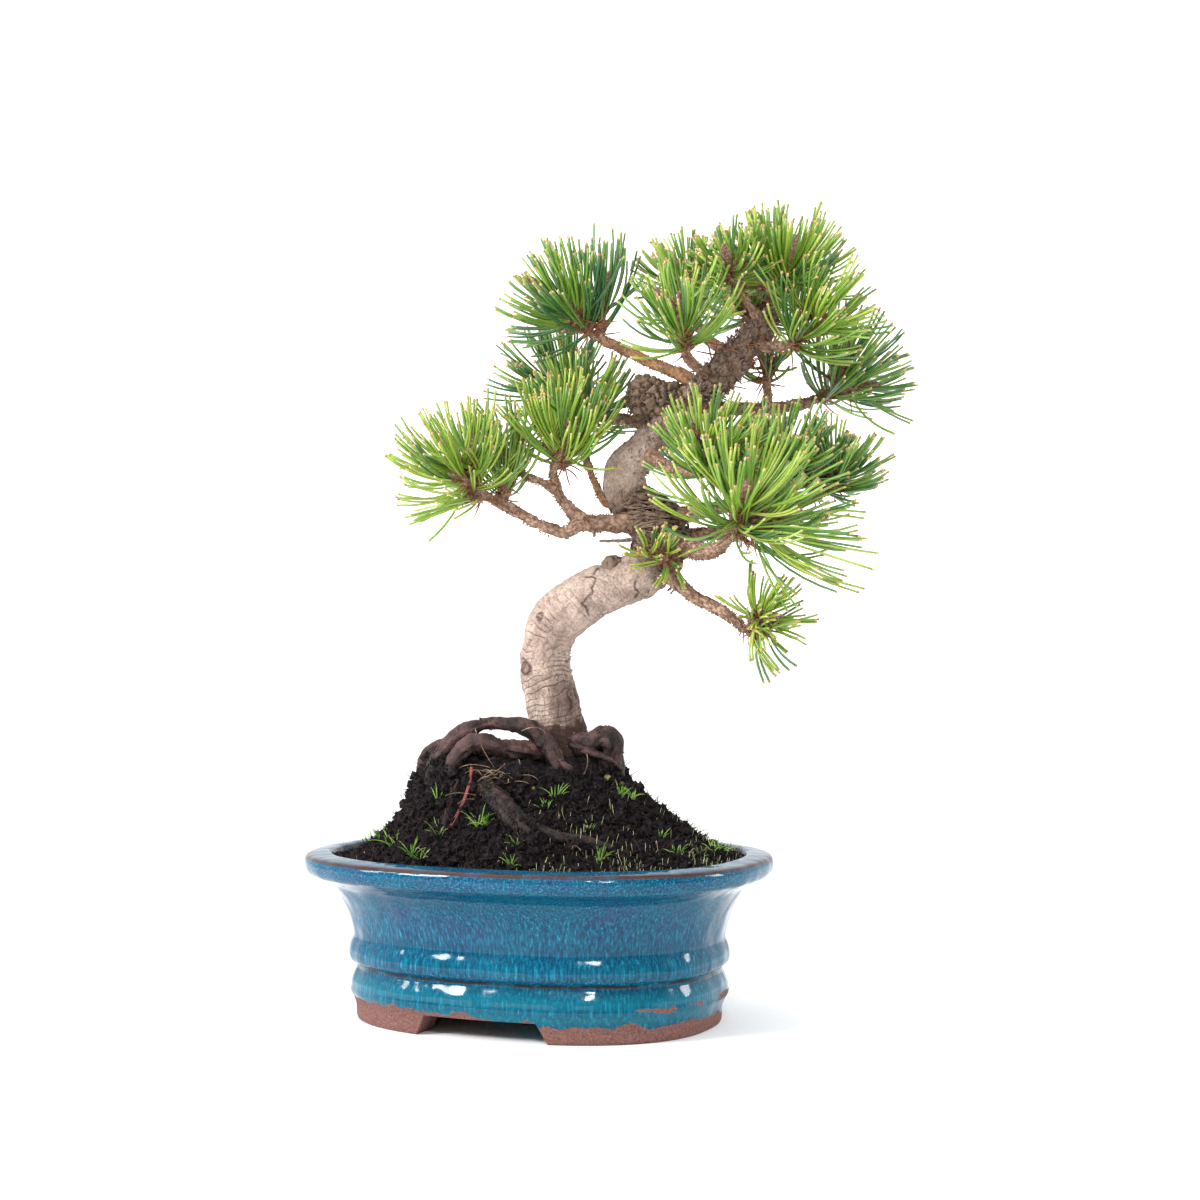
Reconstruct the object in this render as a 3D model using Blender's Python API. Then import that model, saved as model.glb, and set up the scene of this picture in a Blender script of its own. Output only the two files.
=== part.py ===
"""A Japanese black pine bonsai in an oval glazed pot.

The front of the tree looks along -Y, +X is to its right and +Z is up. The origin is on
the table, under the middle of the whole plant. All lengths here are in millimetres and
are turned into metres where a mesh is made.

The wood is a set of tapering tubes along smooth curves. Each limb starts inside the limb
that carries it and is cut back to a thin clear gap round it. Each mass of needles is one
stem that forks into shoots by a seeded rule, with needles fused on round every shoot.
"""

import math
import random
from dataclasses import dataclass

import bmesh
import bpy
import numpy as np
from mathutils import Matrix, Quaternion, Vector

METRES = 0.001
GAP = 0.3
SEED = 20

# Pot, an oval of a fuller outline than an ellipse, turned about its upright axis
POT_LENGTH = 180.0
POT_WIDTH = 146.8
POT_CENTRE = Vector((-30.0, 0.0, 0.0))
POT_TURN = math.radians(-22.6)
OVAL_POWER = 2.4
OVAL_SIDES = 32
FOOT_INNER_INSET = 33.0
POT_UNDERSIDE = 8.4
POT_FLOOR = 12.6
NOTCH_HEIGHT = 7.8
NOTCH_TOP_WIDTH = 45.0
NOTCH_FOOT_WIDTH = 54.0
NOTCH_LENGTH = 1.2 * POT_WIDTH
NOTCH_BELOW = 1.0
DRAIN_RADIUS = 6.0
DRAIN_SPACING = 56.0
DRAIN_SIDES = 16
DRAIN_BEYOND = 2.0
POT_SHARP_DEGREES = 50.0

# Each level of the pot's wall is an inset from the rim's outline and a height
POT_OUTSIDE = (
    (19.8, 0.0), (19.2, 5.6), (18.3, 8.4), (16.9, 12.2), (17.6, 16.6), (18.8, 20.0),
    (17.0, 22.6), (16.2, 26.0), (16.8, 29.6), (17.7, 32.0), (17.0, 36.0), (15.6, 42.0),
    (13.0, 47.2), (10.0, 51.4), (3.4, 55.0), (1.0, 56.6), (0.0, 60.0), (0.3, 62.4),
)
POT_INSIDE = (
    (4.5, 63.4), (9.0, 64.2), (10.6, 63.4), (11.2, 60.6), (13.6, 55.0), (19.0, 49.0),
    (22.2, 42.0), (23.0, 30.0), (24.0, POT_FLOOR),
)

# Soil, filling the pot and heaped under the roots
SOIL_EDGE = 60.6
SOIL_TOP = 93.0
SOIL_CROWN = 99.0
SOIL_CROWN_SHARE = 0.76
SOIL_RINGS = 6
SOIL_CENTRE = Vector((-36.0, 0.0, 0.0))
SOIL_TOP_RADII = (38.0, 27.0)
SOIL_LUMP = 0.9
SOIL_STEEPNESS = 1.7
SOIL_STEEPNESS_LEFT = 0.4

# Tubes
TRUNK_SIDES = 12
LIMB_SIDES = 7
SHOOT_SIDES = 4
STEM_SIDES = 5
TRUNK_STEP = 7.0
LIMB_STEP = 6.0
LIMB_SHARP_DEGREES = 60.0

# Shoots, where the first of four or more keeps close to the heading
STEM_RADIUS = 1.9
STEM_START = 2.0
SHOOT_RADIUS = 2.4
SHOOT_LENGTH = 13.0
SHOOT_TO_NEEDLE = 0.5
SHOOT_LENGTHS = (0.85, 1.15)
SHOOT_SPIN = 0.3
SHOOT_RISE = Vector((0.0, 0.0, 0.25))
FIRST_SHOOT_FAN = 0.25
MOST_WITHOUT_FIRST = 3

# Places along a shoot from 0 to 1, with the share of its full thickness there
SHOOT_PROFILE = ((0.0, 0.8), (0.7, 1.0), (1.0, 0.35))

# Needles
GOLDEN_ANGLE = math.pi * (3.0 - math.sqrt(5.0))
NEEDLE_SIDES = 3
NEEDLE_RADIUS = 1.15
NEEDLE_ROOT_RADIUS = 0.75
NEEDLE_TRIES = 8
NEEDLE_SHORTER = 0.06
NEEDLE_ROOT_OUT = 0.3
NEEDLE_CLEAR = 0.6
NEEDLE_APART = 0.1
NEEDLE_ROOT_SHARE = 0.3
NEEDLE_ROOT_SAMPLES = 2
NEEDLE_SAMPLES = np.linspace(0.15, 1.0, 10)
NEEDLE_SPIN = 0.5
NEEDLE_TILTS = (0.85, 1.15)
NEEDLE_LENGTHS = (0.86, 1.06)
NEEDLE_CLOSING = 0.78
NEEDLE_FIRST = 0.35
NEEDLE_RUN = 0.5
HEART_PLACE = 0.6
HEART_TO_NEEDLE = 0.5
SPACE_MARGIN = 2.7


@dataclass(frozen=True)
class Limb:
    """A tapering limb: its path as x, y, z and radius, and the limb that carries it."""

    name: str
    carrier: str
    path: tuple
    bark: str = "bark_brown"


@dataclass(frozen=True)
class Mass:
    """A mass of needles: the limb it grows from and the sizes of its seeded rule."""

    name: str
    limb: str
    heading: tuple
    stem: float
    shoots: int
    fan: float
    needle: float
    spread: float = 78.0
    per_shoot: int = 7
    foot: tuple = ()
    green: str = "needle_green"


TRUNK = Limb("trunk", "", (
    (-22.5, 0, 99.3, 12.8), (-22.6, 0, 104.5, 11.4), (-22.9, 0, 111, 10.4), (-24.8, 0, 122, 9.9),
    (-27.0, 0, 134, 9.8), (-26.6, 0, 143, 9.5), (-23.0, -1, 152.5, 9.8), (-12.0, -2, 161.5, 9.3),
    (-1.0, -2, 166, 9.0), (13.0, 0, 174, 9.8), (17.5, 4, 187.5, 10.4), (6.0, 8, 199, 8.4),
    (3.5, 9, 211, 7.5), (14.0, 8, 222, 7.1), (28.0, 4, 236, 7.2), (38.5, 2, 246, 7.2),
    (51.5, 2, 260.5, 6.6), (58.0, 2, 267.5, 4.8), (61.5, 2, 272.5, 3.2),
), "bark_grey")

ROOTS = (
    Limb("root_arch", "trunk", (
        (-20.5, -17.5, 94.0, 3.2), (-22.8, -16.5, 99.5, 3.3), (-27.0, -14.8, 107.0, 3.4),
        (-33.0, -13.2, 111.8, 2.9), (-43.5, -12, 113.8, 2.6), (-54.6, -12, 112.1, 2.7),
        (-64.4, -12, 105.0, 3.0), (-69, -12, 97.5, 3.0), (-70, -12, 90, 3.0),
    ), "bark_root"),
    Limb("root_low_left", "trunk", (
        (-21, -3, 104.5, 3.6), (-28, -9, 102.6, 3.4), (-34, -13.5, 102.8, 3.1), (-43.4, -17, 105.0, 2.9),
        (-53.2, -18, 104.2, 2.9), (-59.5, -18, 100.6, 2.9), (-62.3, -18, 96.5, 2.9), (-63, -18, 90, 2.9),
    ), "bark_root"),
    Limb("root_outer_left", "trunk", (
        (-24, 4, 103.5, 3.6), (-34, 7, 101.8, 3.3), (-48, 8, 101.6, 3.1), (-60, 6.5, 102.8, 3.0),
        (-68, 5, 103.4, 3.0), (-72.8, 4.5, 99.5, 3.0), (-74.5, 4, 94.5, 3.0), (-75, 4, 89, 3.0),
    ), "bark_root"),
    Limb("root_right", "trunk", (
        (-20, 0, 104, 4.2), (-15, -6.5, 105.6, 4.0), (-9.5, -8, 106.2, 4.0), (-4.8, -8.5, 108.4, 4.5),
        (-2.2, -8.5, 106.0, 4.5), (-1.2, -7.5, 100.5, 3.9), (-1.0, -6.5, 90.5, 3.8),
    ), "bark_root"),
    Limb("root_front", "trunk", (
        (-49.5, -27, 91.5, 3.0), (-44.5, -34.5, 87, 3.7), (-38, -41.5, 80.6, 3.8), (-32, -45.5, 76, 2.8),
    ), "bark_root"),
)

BOUGHS = (
    Limb("bough_left", "trunk", (
        (10, 4, 191, 4.4), (-6, -2, 190, 3.7), (-14, -4, 190, 3.5), (-19.5, -5, 186.5, 2.9),
        (-28, -6, 188.6, 2.6), (-37, -6, 193.5, 2.4), (-47, -8, 199, 2.1),
    )),
    Limb("bough_left_upper", "bough_left", (
        (-13, -4, 190.5, 2.8), (-18.5, -2, 196, 2.6), (-22.5, 0, 201.5, 2.4), (-24, 2, 207, 2.0),
    )),
    Limb("bough_left_twig", "bough_left_upper", (
        (-23.5, 0.4, 203, 1.8), (-28, 0, 205.6, 1.8), (-33, 0, 207.6, 1.6),
    )),
    Limb("bough_thin", "trunk", (
        (1, 7, 196, 2.0), (-5.5, 9, 200.5, 1.9), (-8.5, 11, 207, 1.7), (-11, 12, 213.5, 1.5),
    ), "bark_orange"),
    Limb("bough_front", "trunk", (
        (16, 0, 185, 4.8), (25, -12, 181, 4.0), (34, -26, 178.5, 3.4), (40, -36, 181.6, 2.4),
    )),
    Limb("bough_low_right", "trunk", (
        (14, 0, 174, 3.6), (23, -8, 167.5, 3.0), (29, -14, 162, 2.8), (37, -18, 158, 2.6),
        (44, -20, 153.4, 2.4), (46.5, -20, 151, 2.1),
    )),
    Limb("bough_upper_left", "trunk", (
        (34, 3, 243, 3.0), (25, 4, 247.8, 2.6), (13, 6, 253, 2.5), (1.5, 9, 258.8, 2.3), (-5, 10, 262, 2.0),
    ), "bark_orange"),
    Limb("bough_top_left_front", "trunk", (
        (37, 1, 246, 2.6), (31, -8, 249.5, 2.2), (26.5, -14, 253, 2.0), (25, -18, 257, 1.8),
    )),
    Limb("bough_top_left_rear", "trunk", (
        (46, 3, 255, 2.6), (38.5, 12, 260.5, 2.2), (33, 17, 267, 2.0), (31, 19, 273, 1.8),
    )),
    Limb("bough_top_middle", "trunk", (
        (57, 2, 267, 2.4), (53, -5, 271, 2.0), (48.5, -9.5, 276.5, 1.8),
    )),
    Limb("bough_right_upper", "trunk", (
        (50, 2, 259, 2.8), (59, -2, 258, 2.4), (66, -5, 258.6, 2.1),
    )),
    Limb("bough_right_far", "trunk", (
        (30, 5, 237, 3.4), (42, 11, 235.5, 3.0), (59, 15, 235.6, 2.7), (74, 19, 238, 2.4),
        (80, 20.5, 240, 2.1),
    )),
    Limb("bough_centre", "bough_right_far", (
        (59, 15, 236, 2.0), (59.4, 13.4, 240.5, 1.8), (59, 12.4, 244, 1.6),
    )),
    Limb("bough_front_left", "trunk", (
        (11, 8, 219, 3.0), (17, -6, 213.5, 2.6), (23.5, -16, 209.5, 2.3), (28.5, -22.5, 208.6, 2.0),
    )),
    Limb("bough_right_middle", "trunk", (
        (18, 3, 192, 3.4), (33, -3, 195, 2.8), (46, -10, 197, 2.4), (56, -15, 199, 2.1),
    )),
    Limb("bough_right_outer", "trunk", (
        (19, 4, 184, 3.6), (38, 3, 186.5, 3.0), (56, -3, 190, 2.6), (66, -8, 194.5, 2.3),
        (71, -10, 198, 2.1),
    )),
    Limb("bough_back_right", "trunk", (
        (17, 5, 189, 3.6), (26, 19, 193, 3.0), (38, 30, 196.5, 2.6), (48, 37, 200, 2.1),
    )),
    Limb("bough_back_high", "trunk", (
        (48, 3, 257, 3.0), (51, 15, 258.5, 2.5), (53, 26, 262, 2.3), (54, 34, 267, 2.0),
    )),
    Limb("bough_back_left", "trunk", (
        (18, 7, 226, 3.2), (7, 20, 231, 2.6), (-6, 32, 234, 2.3), (-14, 40, 237, 2.0),
    )),
)

STUB = Limb("old_bough_stub", "trunk", (
    (27, 5, 236, 6.5), (18, 6, 238, 7.2), (10, 7, 239, 7.4), (5, 8, 239, 5.4),
), "bark_brown")

MASSES = (
    Mass("mass_left_far", "bough_left", (-0.6, -0.25, 0.5), 6, 4, 44, 30, green="needle_bright"),
    Mass("mass_left_middle", "bough_left_twig", (-0.6, 0.25, 0.7), 5, 2, 34, 24, green="needle_bright"),
    Mass("mass_left_inner_low", "bough_left_upper", (0.25, -0.2, 1.0), 5, 3, 34, 31, 70),
    Mass("mass_left_inner_high", "bough_thin", (-0.1, 0.4, 1.0), 12, 4, 42, 29, green="needle_dark"),
    Mass("mass_upper_left", "bough_upper_left", (-0.62, 0.0, 0.4), 4, 4, 46, 32, green="needle_dark"),
    Mass("mass_top_left_front", "bough_top_left_front", (-0.2, -0.45, 1.0), 5, 3, 30, 33, 82),
    Mass("mass_top_left_rear", "bough_top_left_rear", (-0.25, 0.3, 1.0), 5, 3, 46, 22,
         green="needle_bright"),
    Mass("mass_top_middle", "bough_top_middle", (-0.35, -0.75, 0.8), 4, 2, 34, 20, green="needle_bright"),
    Mass("mass_apex", "trunk", (0.06, 0.0, 1.0), 4, 5, 48, 31, 68, green="needle_bright"),
    Mass("mass_right_upper", "bough_right_upper", (0.72, -0.4, 0.6), 5, 3, 38, 31, green="needle_bright"),
    Mass("mass_right_far", "bough_right_far", (0.78, 0.12, 0.52), 5, 4, 44, 30, green="needle_dark"),
    Mass("mass_centre", "bough_centre", (0.05, -0.1, 1.0), 3, 2, 34, 13, per_shoot=8),
    Mass("mass_front", "bough_front", (0.5, -0.35, 0.72), 8, 5, 52, 38, 96, green="needle_bright"),
    Mass("mass_front_left", "bough_front_left", (0.42, -0.3, 0.95), 5, 3, 42, 24, green="needle_bright"),
    Mass("mass_right_middle", "bough_right_middle", (0.45, -0.2, 0.95), 6, 3, 42, 27),
    Mass("mass_right_outer", "bough_right_outer", (0.66, -0.1, 0.56), 2, 4, 46, 25, green="needle_dark"),
    Mass("mass_right_low", "bough_low_right", (0.8, -0.3, 0.2), 3, 3, 50, 19),
    Mass("mass_knuckle_sprig", "trunk", (0.05, -1.0, 0.05), 13, 2, 40, 12, per_shoot=6,
         foot=(13, 0, 176), green="needle_bright"),
    Mass("mass_back_right", "bough_back_right", (0.5, 0.55, 0.7), 7, 4, 44, 30),
    Mass("mass_back_high", "bough_back_high", (0.1, 0.7, 0.75), 6, 4, 44, 29, green="needle_bright"),
    Mass("mass_back_left", "bough_back_left", (-0.55, 0.4, 0.7), 6, 4, 44, 29, green="needle_dark"),
)

COLOURS = {
    "glaze": ((0.035, 0.23, 0.31), 0.12),
    "soil": ((0.018, 0.014, 0.011), 0.95),
    "bark_grey": ((0.42, 0.34, 0.26), 0.85),
    "bark_brown": ((0.22, 0.14, 0.095), 0.9),
    "bark_orange": ((0.42, 0.22, 0.10), 0.85),
    "bark_root": ((0.11, 0.065, 0.045), 0.85),
    "needle_green": ((0.09, 0.25, 0.045), 0.5),
    "needle_bright": ((0.20, 0.42, 0.035), 0.5),
    "needle_dark": ((0.035, 0.14, 0.055), 0.5),
}


def clear_scene():
    """Remove the objects that a new scene starts with."""
    for thing in list(bpy.data.objects):
        bpy.data.objects.remove(thing, do_unlink=True)


def make_material(name):
    """Give the material of a name, made the first time it is asked for."""
    if name in bpy.data.materials:
        return bpy.data.materials[name]
    colour, roughness = COLOURS[name]
    material = bpy.data.materials.new(name)
    material.use_nodes = True
    shader = material.node_tree.nodes["Principled BSDF"]
    shader.inputs["Base Color"].default_value = (*colour, 1.0)
    shader.inputs["Roughness"].default_value = roughness
    shader.inputs["Metallic"].default_value = 0.0
    return material


def mesh_object(name, points, faces, material):
    """Make an object from points in millimetres, with its faces turned outwards."""
    mesh = bpy.data.meshes.new(name)
    mesh.from_pydata([Vector(point) * METRES for point in points], [], faces)
    shape = bmesh.new()
    shape.from_mesh(mesh)
    bmesh.ops.recalc_face_normals(shape, faces=shape.faces)
    shape.to_mesh(mesh)
    shape.free()
    mesh.materials.append(make_material(material))
    thing = bpy.data.objects.new(name, mesh)
    bpy.context.scene.collection.objects.link(thing)
    return thing


def ring_faces(start, sides, other):
    """Give the quads between two rings of points by the index of their first points."""
    faces = []
    for side in range(sides):
        after = (side + 1) % sides
        faces.append((start + side, start + after, other + after, other + side))
    return faces


def lathe_faces(rings, sides):
    """Give the faces of a closed stack of rings, with a flat cap at each end."""
    faces = [tuple(range(sides))]
    for ring in range(rings - 1):
        faces.extend(ring_faces(ring * sides, sides, (ring + 1) * sides))
    faces.append(tuple(range((rings - 1) * sides, rings * sides)))
    return faces


def smooth_path(points, step):
    """Run a smooth curve through x, y, z and radius, with points about one step apart."""
    knots = [np.array(point, float) for point in points]
    knots = [2 * knots[0] - knots[1]] + knots + [2 * knots[-1] - knots[-2]]
    path = []
    for index in range(1, len(knots) - 2):
        before, start, end, after = knots[index - 1:index + 3]
        pieces = max(1, round(np.linalg.norm(end[:3] - start[:3]) / step))
        for piece in range(pieces):
            t = piece / pieces
            bend = 2 * start + (end - before) * t
            bend = bend + (2 * before - 5 * start + 4 * end - after) * t ** 2
            bend = bend + (3 * start - before - 3 * end + after) * t ** 3
            path.append(bend / 2)
    path.append(knots[-2])
    return path


def tube_rings(path, sides, grow=0.0, level_foot=False):
    """Sweep rings along a path without twist and give their points."""
    centres = [Vector(point[:3]) for point in path]
    points = []
    across = Vector((1.0, 0.0, 0.0))
    for index, centre in enumerate(centres):
        ahead = centres[min(index + 1, len(centres) - 1)]
        behind = centres[max(index - 1, 0)]
        along = (ahead - behind).normalized()
        if level_foot and index == 0:
            along = Vector((0.0, 0.0, 1.0))
        across = (across - along * across.dot(along)).normalized()
        side_way = along.cross(across)
        radius = path[index][3] + grow
        for side in range(sides):
            angle = 2 * math.pi * side / sides
            points.append(centre + (across * math.cos(angle) + side_way * math.sin(angle)) * radius)
    return points


def tube_object(name, path, sides, material, grow=0.0, level_foot=False):
    """Make a closed tapering tube along a path."""
    points = tube_rings(path, sides, grow, level_foot)
    return mesh_object(name, points, lathe_faces(len(path), sides), material)


def combine(target, operation, other, solver="EXACT"):
    """Apply one Boolean with an object or a collection and remove what it used."""
    modifier = target.modifiers.new("combine", "BOOLEAN")
    modifier.operation = operation
    modifier.solver = solver
    if isinstance(other, bpy.types.Collection):
        modifier.operand_type = "COLLECTION"
        modifier.collection = other
        used = list(other.objects)
    else:
        modifier.object = other
        used = [other]
    view = bpy.context.evaluated_depsgraph_get()
    mesh = bpy.data.meshes.new_from_object(target.evaluated_get(view))
    target.modifiers.clear()
    target.data = mesh
    for thing in used:
        bpy.data.objects.remove(thing, do_unlink=True)
    if isinstance(other, bpy.types.Collection):
        bpy.data.collections.remove(other)


def keep_main_body(thing):
    """Drop sealed hollows and loose scraps, so that only the largest body is left."""
    shape = bmesh.new()
    shape.from_mesh(thing.data)
    islands = []
    waiting = set(shape.verts)
    while waiting:
        front = [waiting.pop()]
        island = set(front)
        while front:
            point = front.pop()
            for edge in point.link_edges:
                other = edge.other_vert(point)
                if other in waiting:
                    waiting.remove(other)
                    island.add(other)
                    front.append(other)
        islands.append(island)
    islands.sort(key=len, reverse=True)
    for island in islands[1:]:
        bmesh.ops.delete(shape, geom=list(island), context="VERTS")
    shape.to_mesh(thing.data)
    shape.free()


def shade_round(thing, sharp_degrees):
    """Shade an object smooth but for its sharp edges."""
    thing.data.shade_smooth()
    thing.data.set_sharp_from_angle(angle=math.radians(sharp_degrees))


def oval_ring(inset, height):
    """Give one ring of the pot's outline, drawn in by an inset, at a height."""
    length = POT_LENGTH / 2 - inset
    width = POT_WIDTH / 2 - inset
    turn = Matrix.Rotation(POT_TURN, 3, "Z")
    ring = []
    for side in range(OVAL_SIDES):
        angle = 2 * math.pi * side / OVAL_SIDES
        x = math.copysign(abs(math.cos(angle)) ** (2 / OVAL_POWER), math.cos(angle)) * length
        y = math.copysign(abs(math.sin(angle)) ** (2 / OVAL_POWER), math.sin(angle)) * width
        ring.append(turn @ Vector((x, y, height)) + POT_CENTRE)
    return ring


def block_object(name, foot_width, top_width, length, height):
    """Make a long bar with sloping sides for cutting the notch between the feet."""
    foot = foot_width / 2
    top = top_width / 2
    profile = ((-foot, -NOTCH_BELOW), (foot, -NOTCH_BELOW), (top, height), (-top, height))
    points = []
    for y in (-length / 2, length / 2):
        for x, z in profile:
            points.append((x, y, z))
    return mesh_object(name, points, lathe_faces(2, 4), "glaze")


def make_pot():
    """Make the pot: a hollow turned wall, two wide feet and two drain holes."""
    levels = [(FOOT_INNER_INSET, POT_UNDERSIDE), (FOOT_INNER_INSET, 0.0)]
    levels.extend(POT_OUTSIDE)
    levels.extend(POT_INSIDE)
    points = []
    for inset, height in levels:
        points.extend(oval_ring(inset, height))
    pot = mesh_object("pot", points, lathe_faces(len(levels), OVAL_SIDES), "glaze")
    notch = block_object("notch", NOTCH_FOOT_WIDTH, NOTCH_TOP_WIDTH, NOTCH_LENGTH, NOTCH_HEIGHT)
    notch.matrix_world = Matrix.Translation(POT_CENTRE * METRES) @ Matrix.Rotation(POT_TURN, 4, "Z")
    combine(pot, "DIFFERENCE", notch)
    for side in (-1, 1):
        along = Matrix.Rotation(POT_TURN, 3, "Z") @ Vector((side * DRAIN_SPACING / 2, 0.0, 0.0))
        centre = POT_CENTRE + along
        low = (*centre[:2], POT_UNDERSIDE - DRAIN_BEYOND, DRAIN_RADIUS)
        high = (*centre[:2], POT_FLOOR + DRAIN_BEYOND, DRAIN_RADIUS)
        combine(pot, "DIFFERENCE", tube_object("drain", [low, high], DRAIN_SIDES, "glaze"))
    shade_round(pot, POT_SHARP_DEGREES)


def inner_inset(height):
    """Give the inset of the pot's inner wall at a height."""
    heights = [level[1] for level in reversed(POT_INSIDE[2:])]
    insets = [level[0] for level in reversed(POT_INSIDE[2:])]
    return float(np.interp(height, heights, insets))


def soil_oval(angle, share):
    """Give a point of the oval round the top of the soil's heap, drawn in by a share, at no height."""
    across = Vector((math.cos(angle) * SOIL_TOP_RADII[0], math.sin(angle) * SOIL_TOP_RADII[1], 0.0))
    return SOIL_CENTRE + across * share


def make_soil(rng):
    """Make the soil: it fills the pot and rises to a heap with a small flat top under the roots."""
    points = []
    rings = 0
    for inset, height in reversed(POT_INSIDE[3:]):
        level = height + GAP if height == POT_FLOOR else min(height, SOIL_EDGE)
        points.extend(oval_ring(inset + GAP, level))
        rings += 1
    edge = oval_ring(inner_inset(SOIL_EDGE) + GAP, SOIL_EDGE)
    for ring in range(1, SOIL_RINGS + 1):
        share = ring / SOIL_RINGS
        for side in range(OVAL_SIDES):
            angle = 2 * math.pi * side / OVAL_SIDES + POT_TURN
            place = edge[side].lerp(soil_oval(angle, 1.0), share)
            steepness = SOIL_STEEPNESS - SOIL_STEEPNESS_LEFT * math.cos(angle)
            place.z = SOIL_EDGE + (SOIL_TOP - SOIL_EDGE) * share ** steepness
            if ring < SOIL_RINGS:
                place.z += rng.uniform(-SOIL_LUMP, SOIL_LUMP)
            points.append(place)
        rings += 1
    for side in range(OVAL_SIDES):
        place = soil_oval(2 * math.pi * side / OVAL_SIDES + POT_TURN, SOIL_CROWN_SHARE)
        place.z = SOIL_CROWN
        points.append(place)
    rings += 1
    return mesh_object("soil", points, lathe_faces(rings, OVAL_SIDES), "soil")


def limb_path(limb):
    """Give the points of a limb's smooth path."""
    step = TRUNK_STEP if limb.name == "trunk" else LIMB_STEP
    return smooth_path(limb.path, step)


def make_limb(limb, carrier):
    """Make one limb, cut back to a thin gap round the limb that carries it."""
    sides = TRUNK_SIDES if limb.name == "trunk" else LIMB_SIDES
    thing = tube_object(limb.name, limb_path(limb), sides, limb.bark, level_foot=limb.name == "trunk")
    if carrier:
        carrier_sides = TRUNK_SIDES if carrier.name == "trunk" else LIMB_SIDES
        grown = limb_path(carrier)
        cutter = tube_object("cutter", grown, carrier_sides, carrier.bark, grow=2 * GAP)
        combine(thing, "DIFFERENCE", cutter)
    shade_round(thing, LIMB_SHARP_DEGREES)
    return thing


class Skeleton:
    """The straight pieces of all wood, for keeping needles clear of it."""

    def __init__(self):
        """Start with no pieces."""
        self.starts = []
        self.ends = []
        self.radii = []
        self.owners = []

    def add(self, owner, path):
        """Add the pieces of a path that belongs to a limb or mass."""
        for start, end in zip(path, path[1:]):
            self.starts.append(np.array(start[:3], float))
            self.ends.append(np.array(end[:3], float))
            self.radii.append(max(start[3], end[3]))
            self.owners.append(owner)

    def clearance(self, points, left_out):
        """Give the least distance from points to the wood that isn't one owner's."""
        keep = [index for index, owner in enumerate(self.owners) if owner != left_out]
        if not keep:
            return math.inf
        start = np.array(self.starts)[keep][None]
        along = np.array(self.ends)[keep][None] - start
        radii = np.array(self.radii)[keep][None]
        offset = points[:, None] - start
        share = (offset * along).sum(2) / np.maximum((along ** 2).sum(2), 1e-9)
        nearest = offset - np.clip(share, 0, 1)[..., None] * along
        return float((np.linalg.norm(nearest, axis=2) - radii).min())


@dataclass
class Shoot:
    """One shoot of a mass: where it starts, where its bud ends, and its direction."""

    base: Vector
    tip: Vector
    way: Vector


def mass_frame(mass, limbs):
    """Give the foot of a mass's stem, the way it leaves its limb, and its heading."""
    heading = Vector(mass.heading).normalized()
    if mass.foot:
        return Vector(mass.foot), heading, heading
    path = limb_path(limbs[mass.limb])
    tip = Vector(path[-1][:3])
    way = (tip - Vector(path[-2][:3])).normalized()
    return tip + way * GAP, way, heading


def mass_shoots(mass, foot, way_out, heading, rng):
    """Fork a mass's stem into its shoots, fanned evenly round the heading."""
    fork = foot + way_out * STEM_START + heading * mass.stem
    side_way = heading.orthogonal().normalized()
    phase = rng.uniform(0, 2 * math.pi)
    many = mass.shoots > MOST_WITHOUT_FIRST
    shoots = []
    for index in range(mass.shoots):
        tilt = math.radians(mass.fan * (FIRST_SHOOT_FAN if many and index == 0 else 1.0))
        spin = phase + 2 * math.pi * index / (mass.shoots - many)
        spin += rng.uniform(-SHOOT_SPIN, SHOOT_SPIN)
        way = Quaternion(side_way, tilt) @ heading
        way = Quaternion(heading, spin) @ way
        way = (way + SHOOT_RISE).normalized()
        length = min(SHOOT_LENGTH, mass.needle * SHOOT_TO_NEEDLE) * rng.uniform(*SHOOT_LENGTHS)
        shoots.append(Shoot(fork, fork + way * length, way))
    return fork, shoots


def shoot_path(shoot):
    """Give the thin start, thick middle and pointed bud of a shoot."""
    path = []
    for share, thickness in SHOOT_PROFILE:
        place = shoot.base.lerp(shoot.tip, share)
        path.append((*place, SHOOT_RADIUS * thickness))
    return path


def needle_ends(mass, shoot, index, reach, rng):
    """Give the root and tip of one needle on a shoot, at a share of its full length."""
    share = (index + 0.5) / mass.per_shoot
    spin = index * GOLDEN_ANGLE + rng.uniform(-NEEDLE_SPIN, NEEDLE_SPIN)
    tilt = math.radians(mass.spread * (1.0 - NEEDLE_CLOSING * share)) * rng.uniform(*NEEDLE_TILTS)
    side_way = Quaternion(shoot.way, spin) @ shoot.way.orthogonal().normalized()
    way = shoot.way * math.cos(tilt) + side_way * math.sin(tilt)
    centre = shoot.base.lerp(shoot.tip, NEEDLE_FIRST + NEEDLE_RUN * share)
    length = mass.needle * reach * rng.uniform(*NEEDLE_LENGTHS)
    return centre + way * NEEDLE_ROOT_OUT, centre + way * length


def own_space(points, hearts, owners, name):
    """Tell if points keep to the space round a mass's own hearts."""
    distance = np.linalg.norm(points[:, None] - hearts[None, :, :3], axis=2) - hearts[None, :, 3]
    own = distance[:, owners == name].min(axis=1)
    other = distance[:, owners != name].min(axis=1)
    return bool((own + SPACE_MARGIN < other).all())


def needle_object(root, tip):
    """Make one three-sided needle, thinner at its cut tip."""
    path = [(*root, NEEDLE_ROOT_RADIUS), (*tip, NEEDLE_RADIUS)]
    return tube_object("needle", path, NEEDLE_SIDES, "needle_green")


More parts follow.
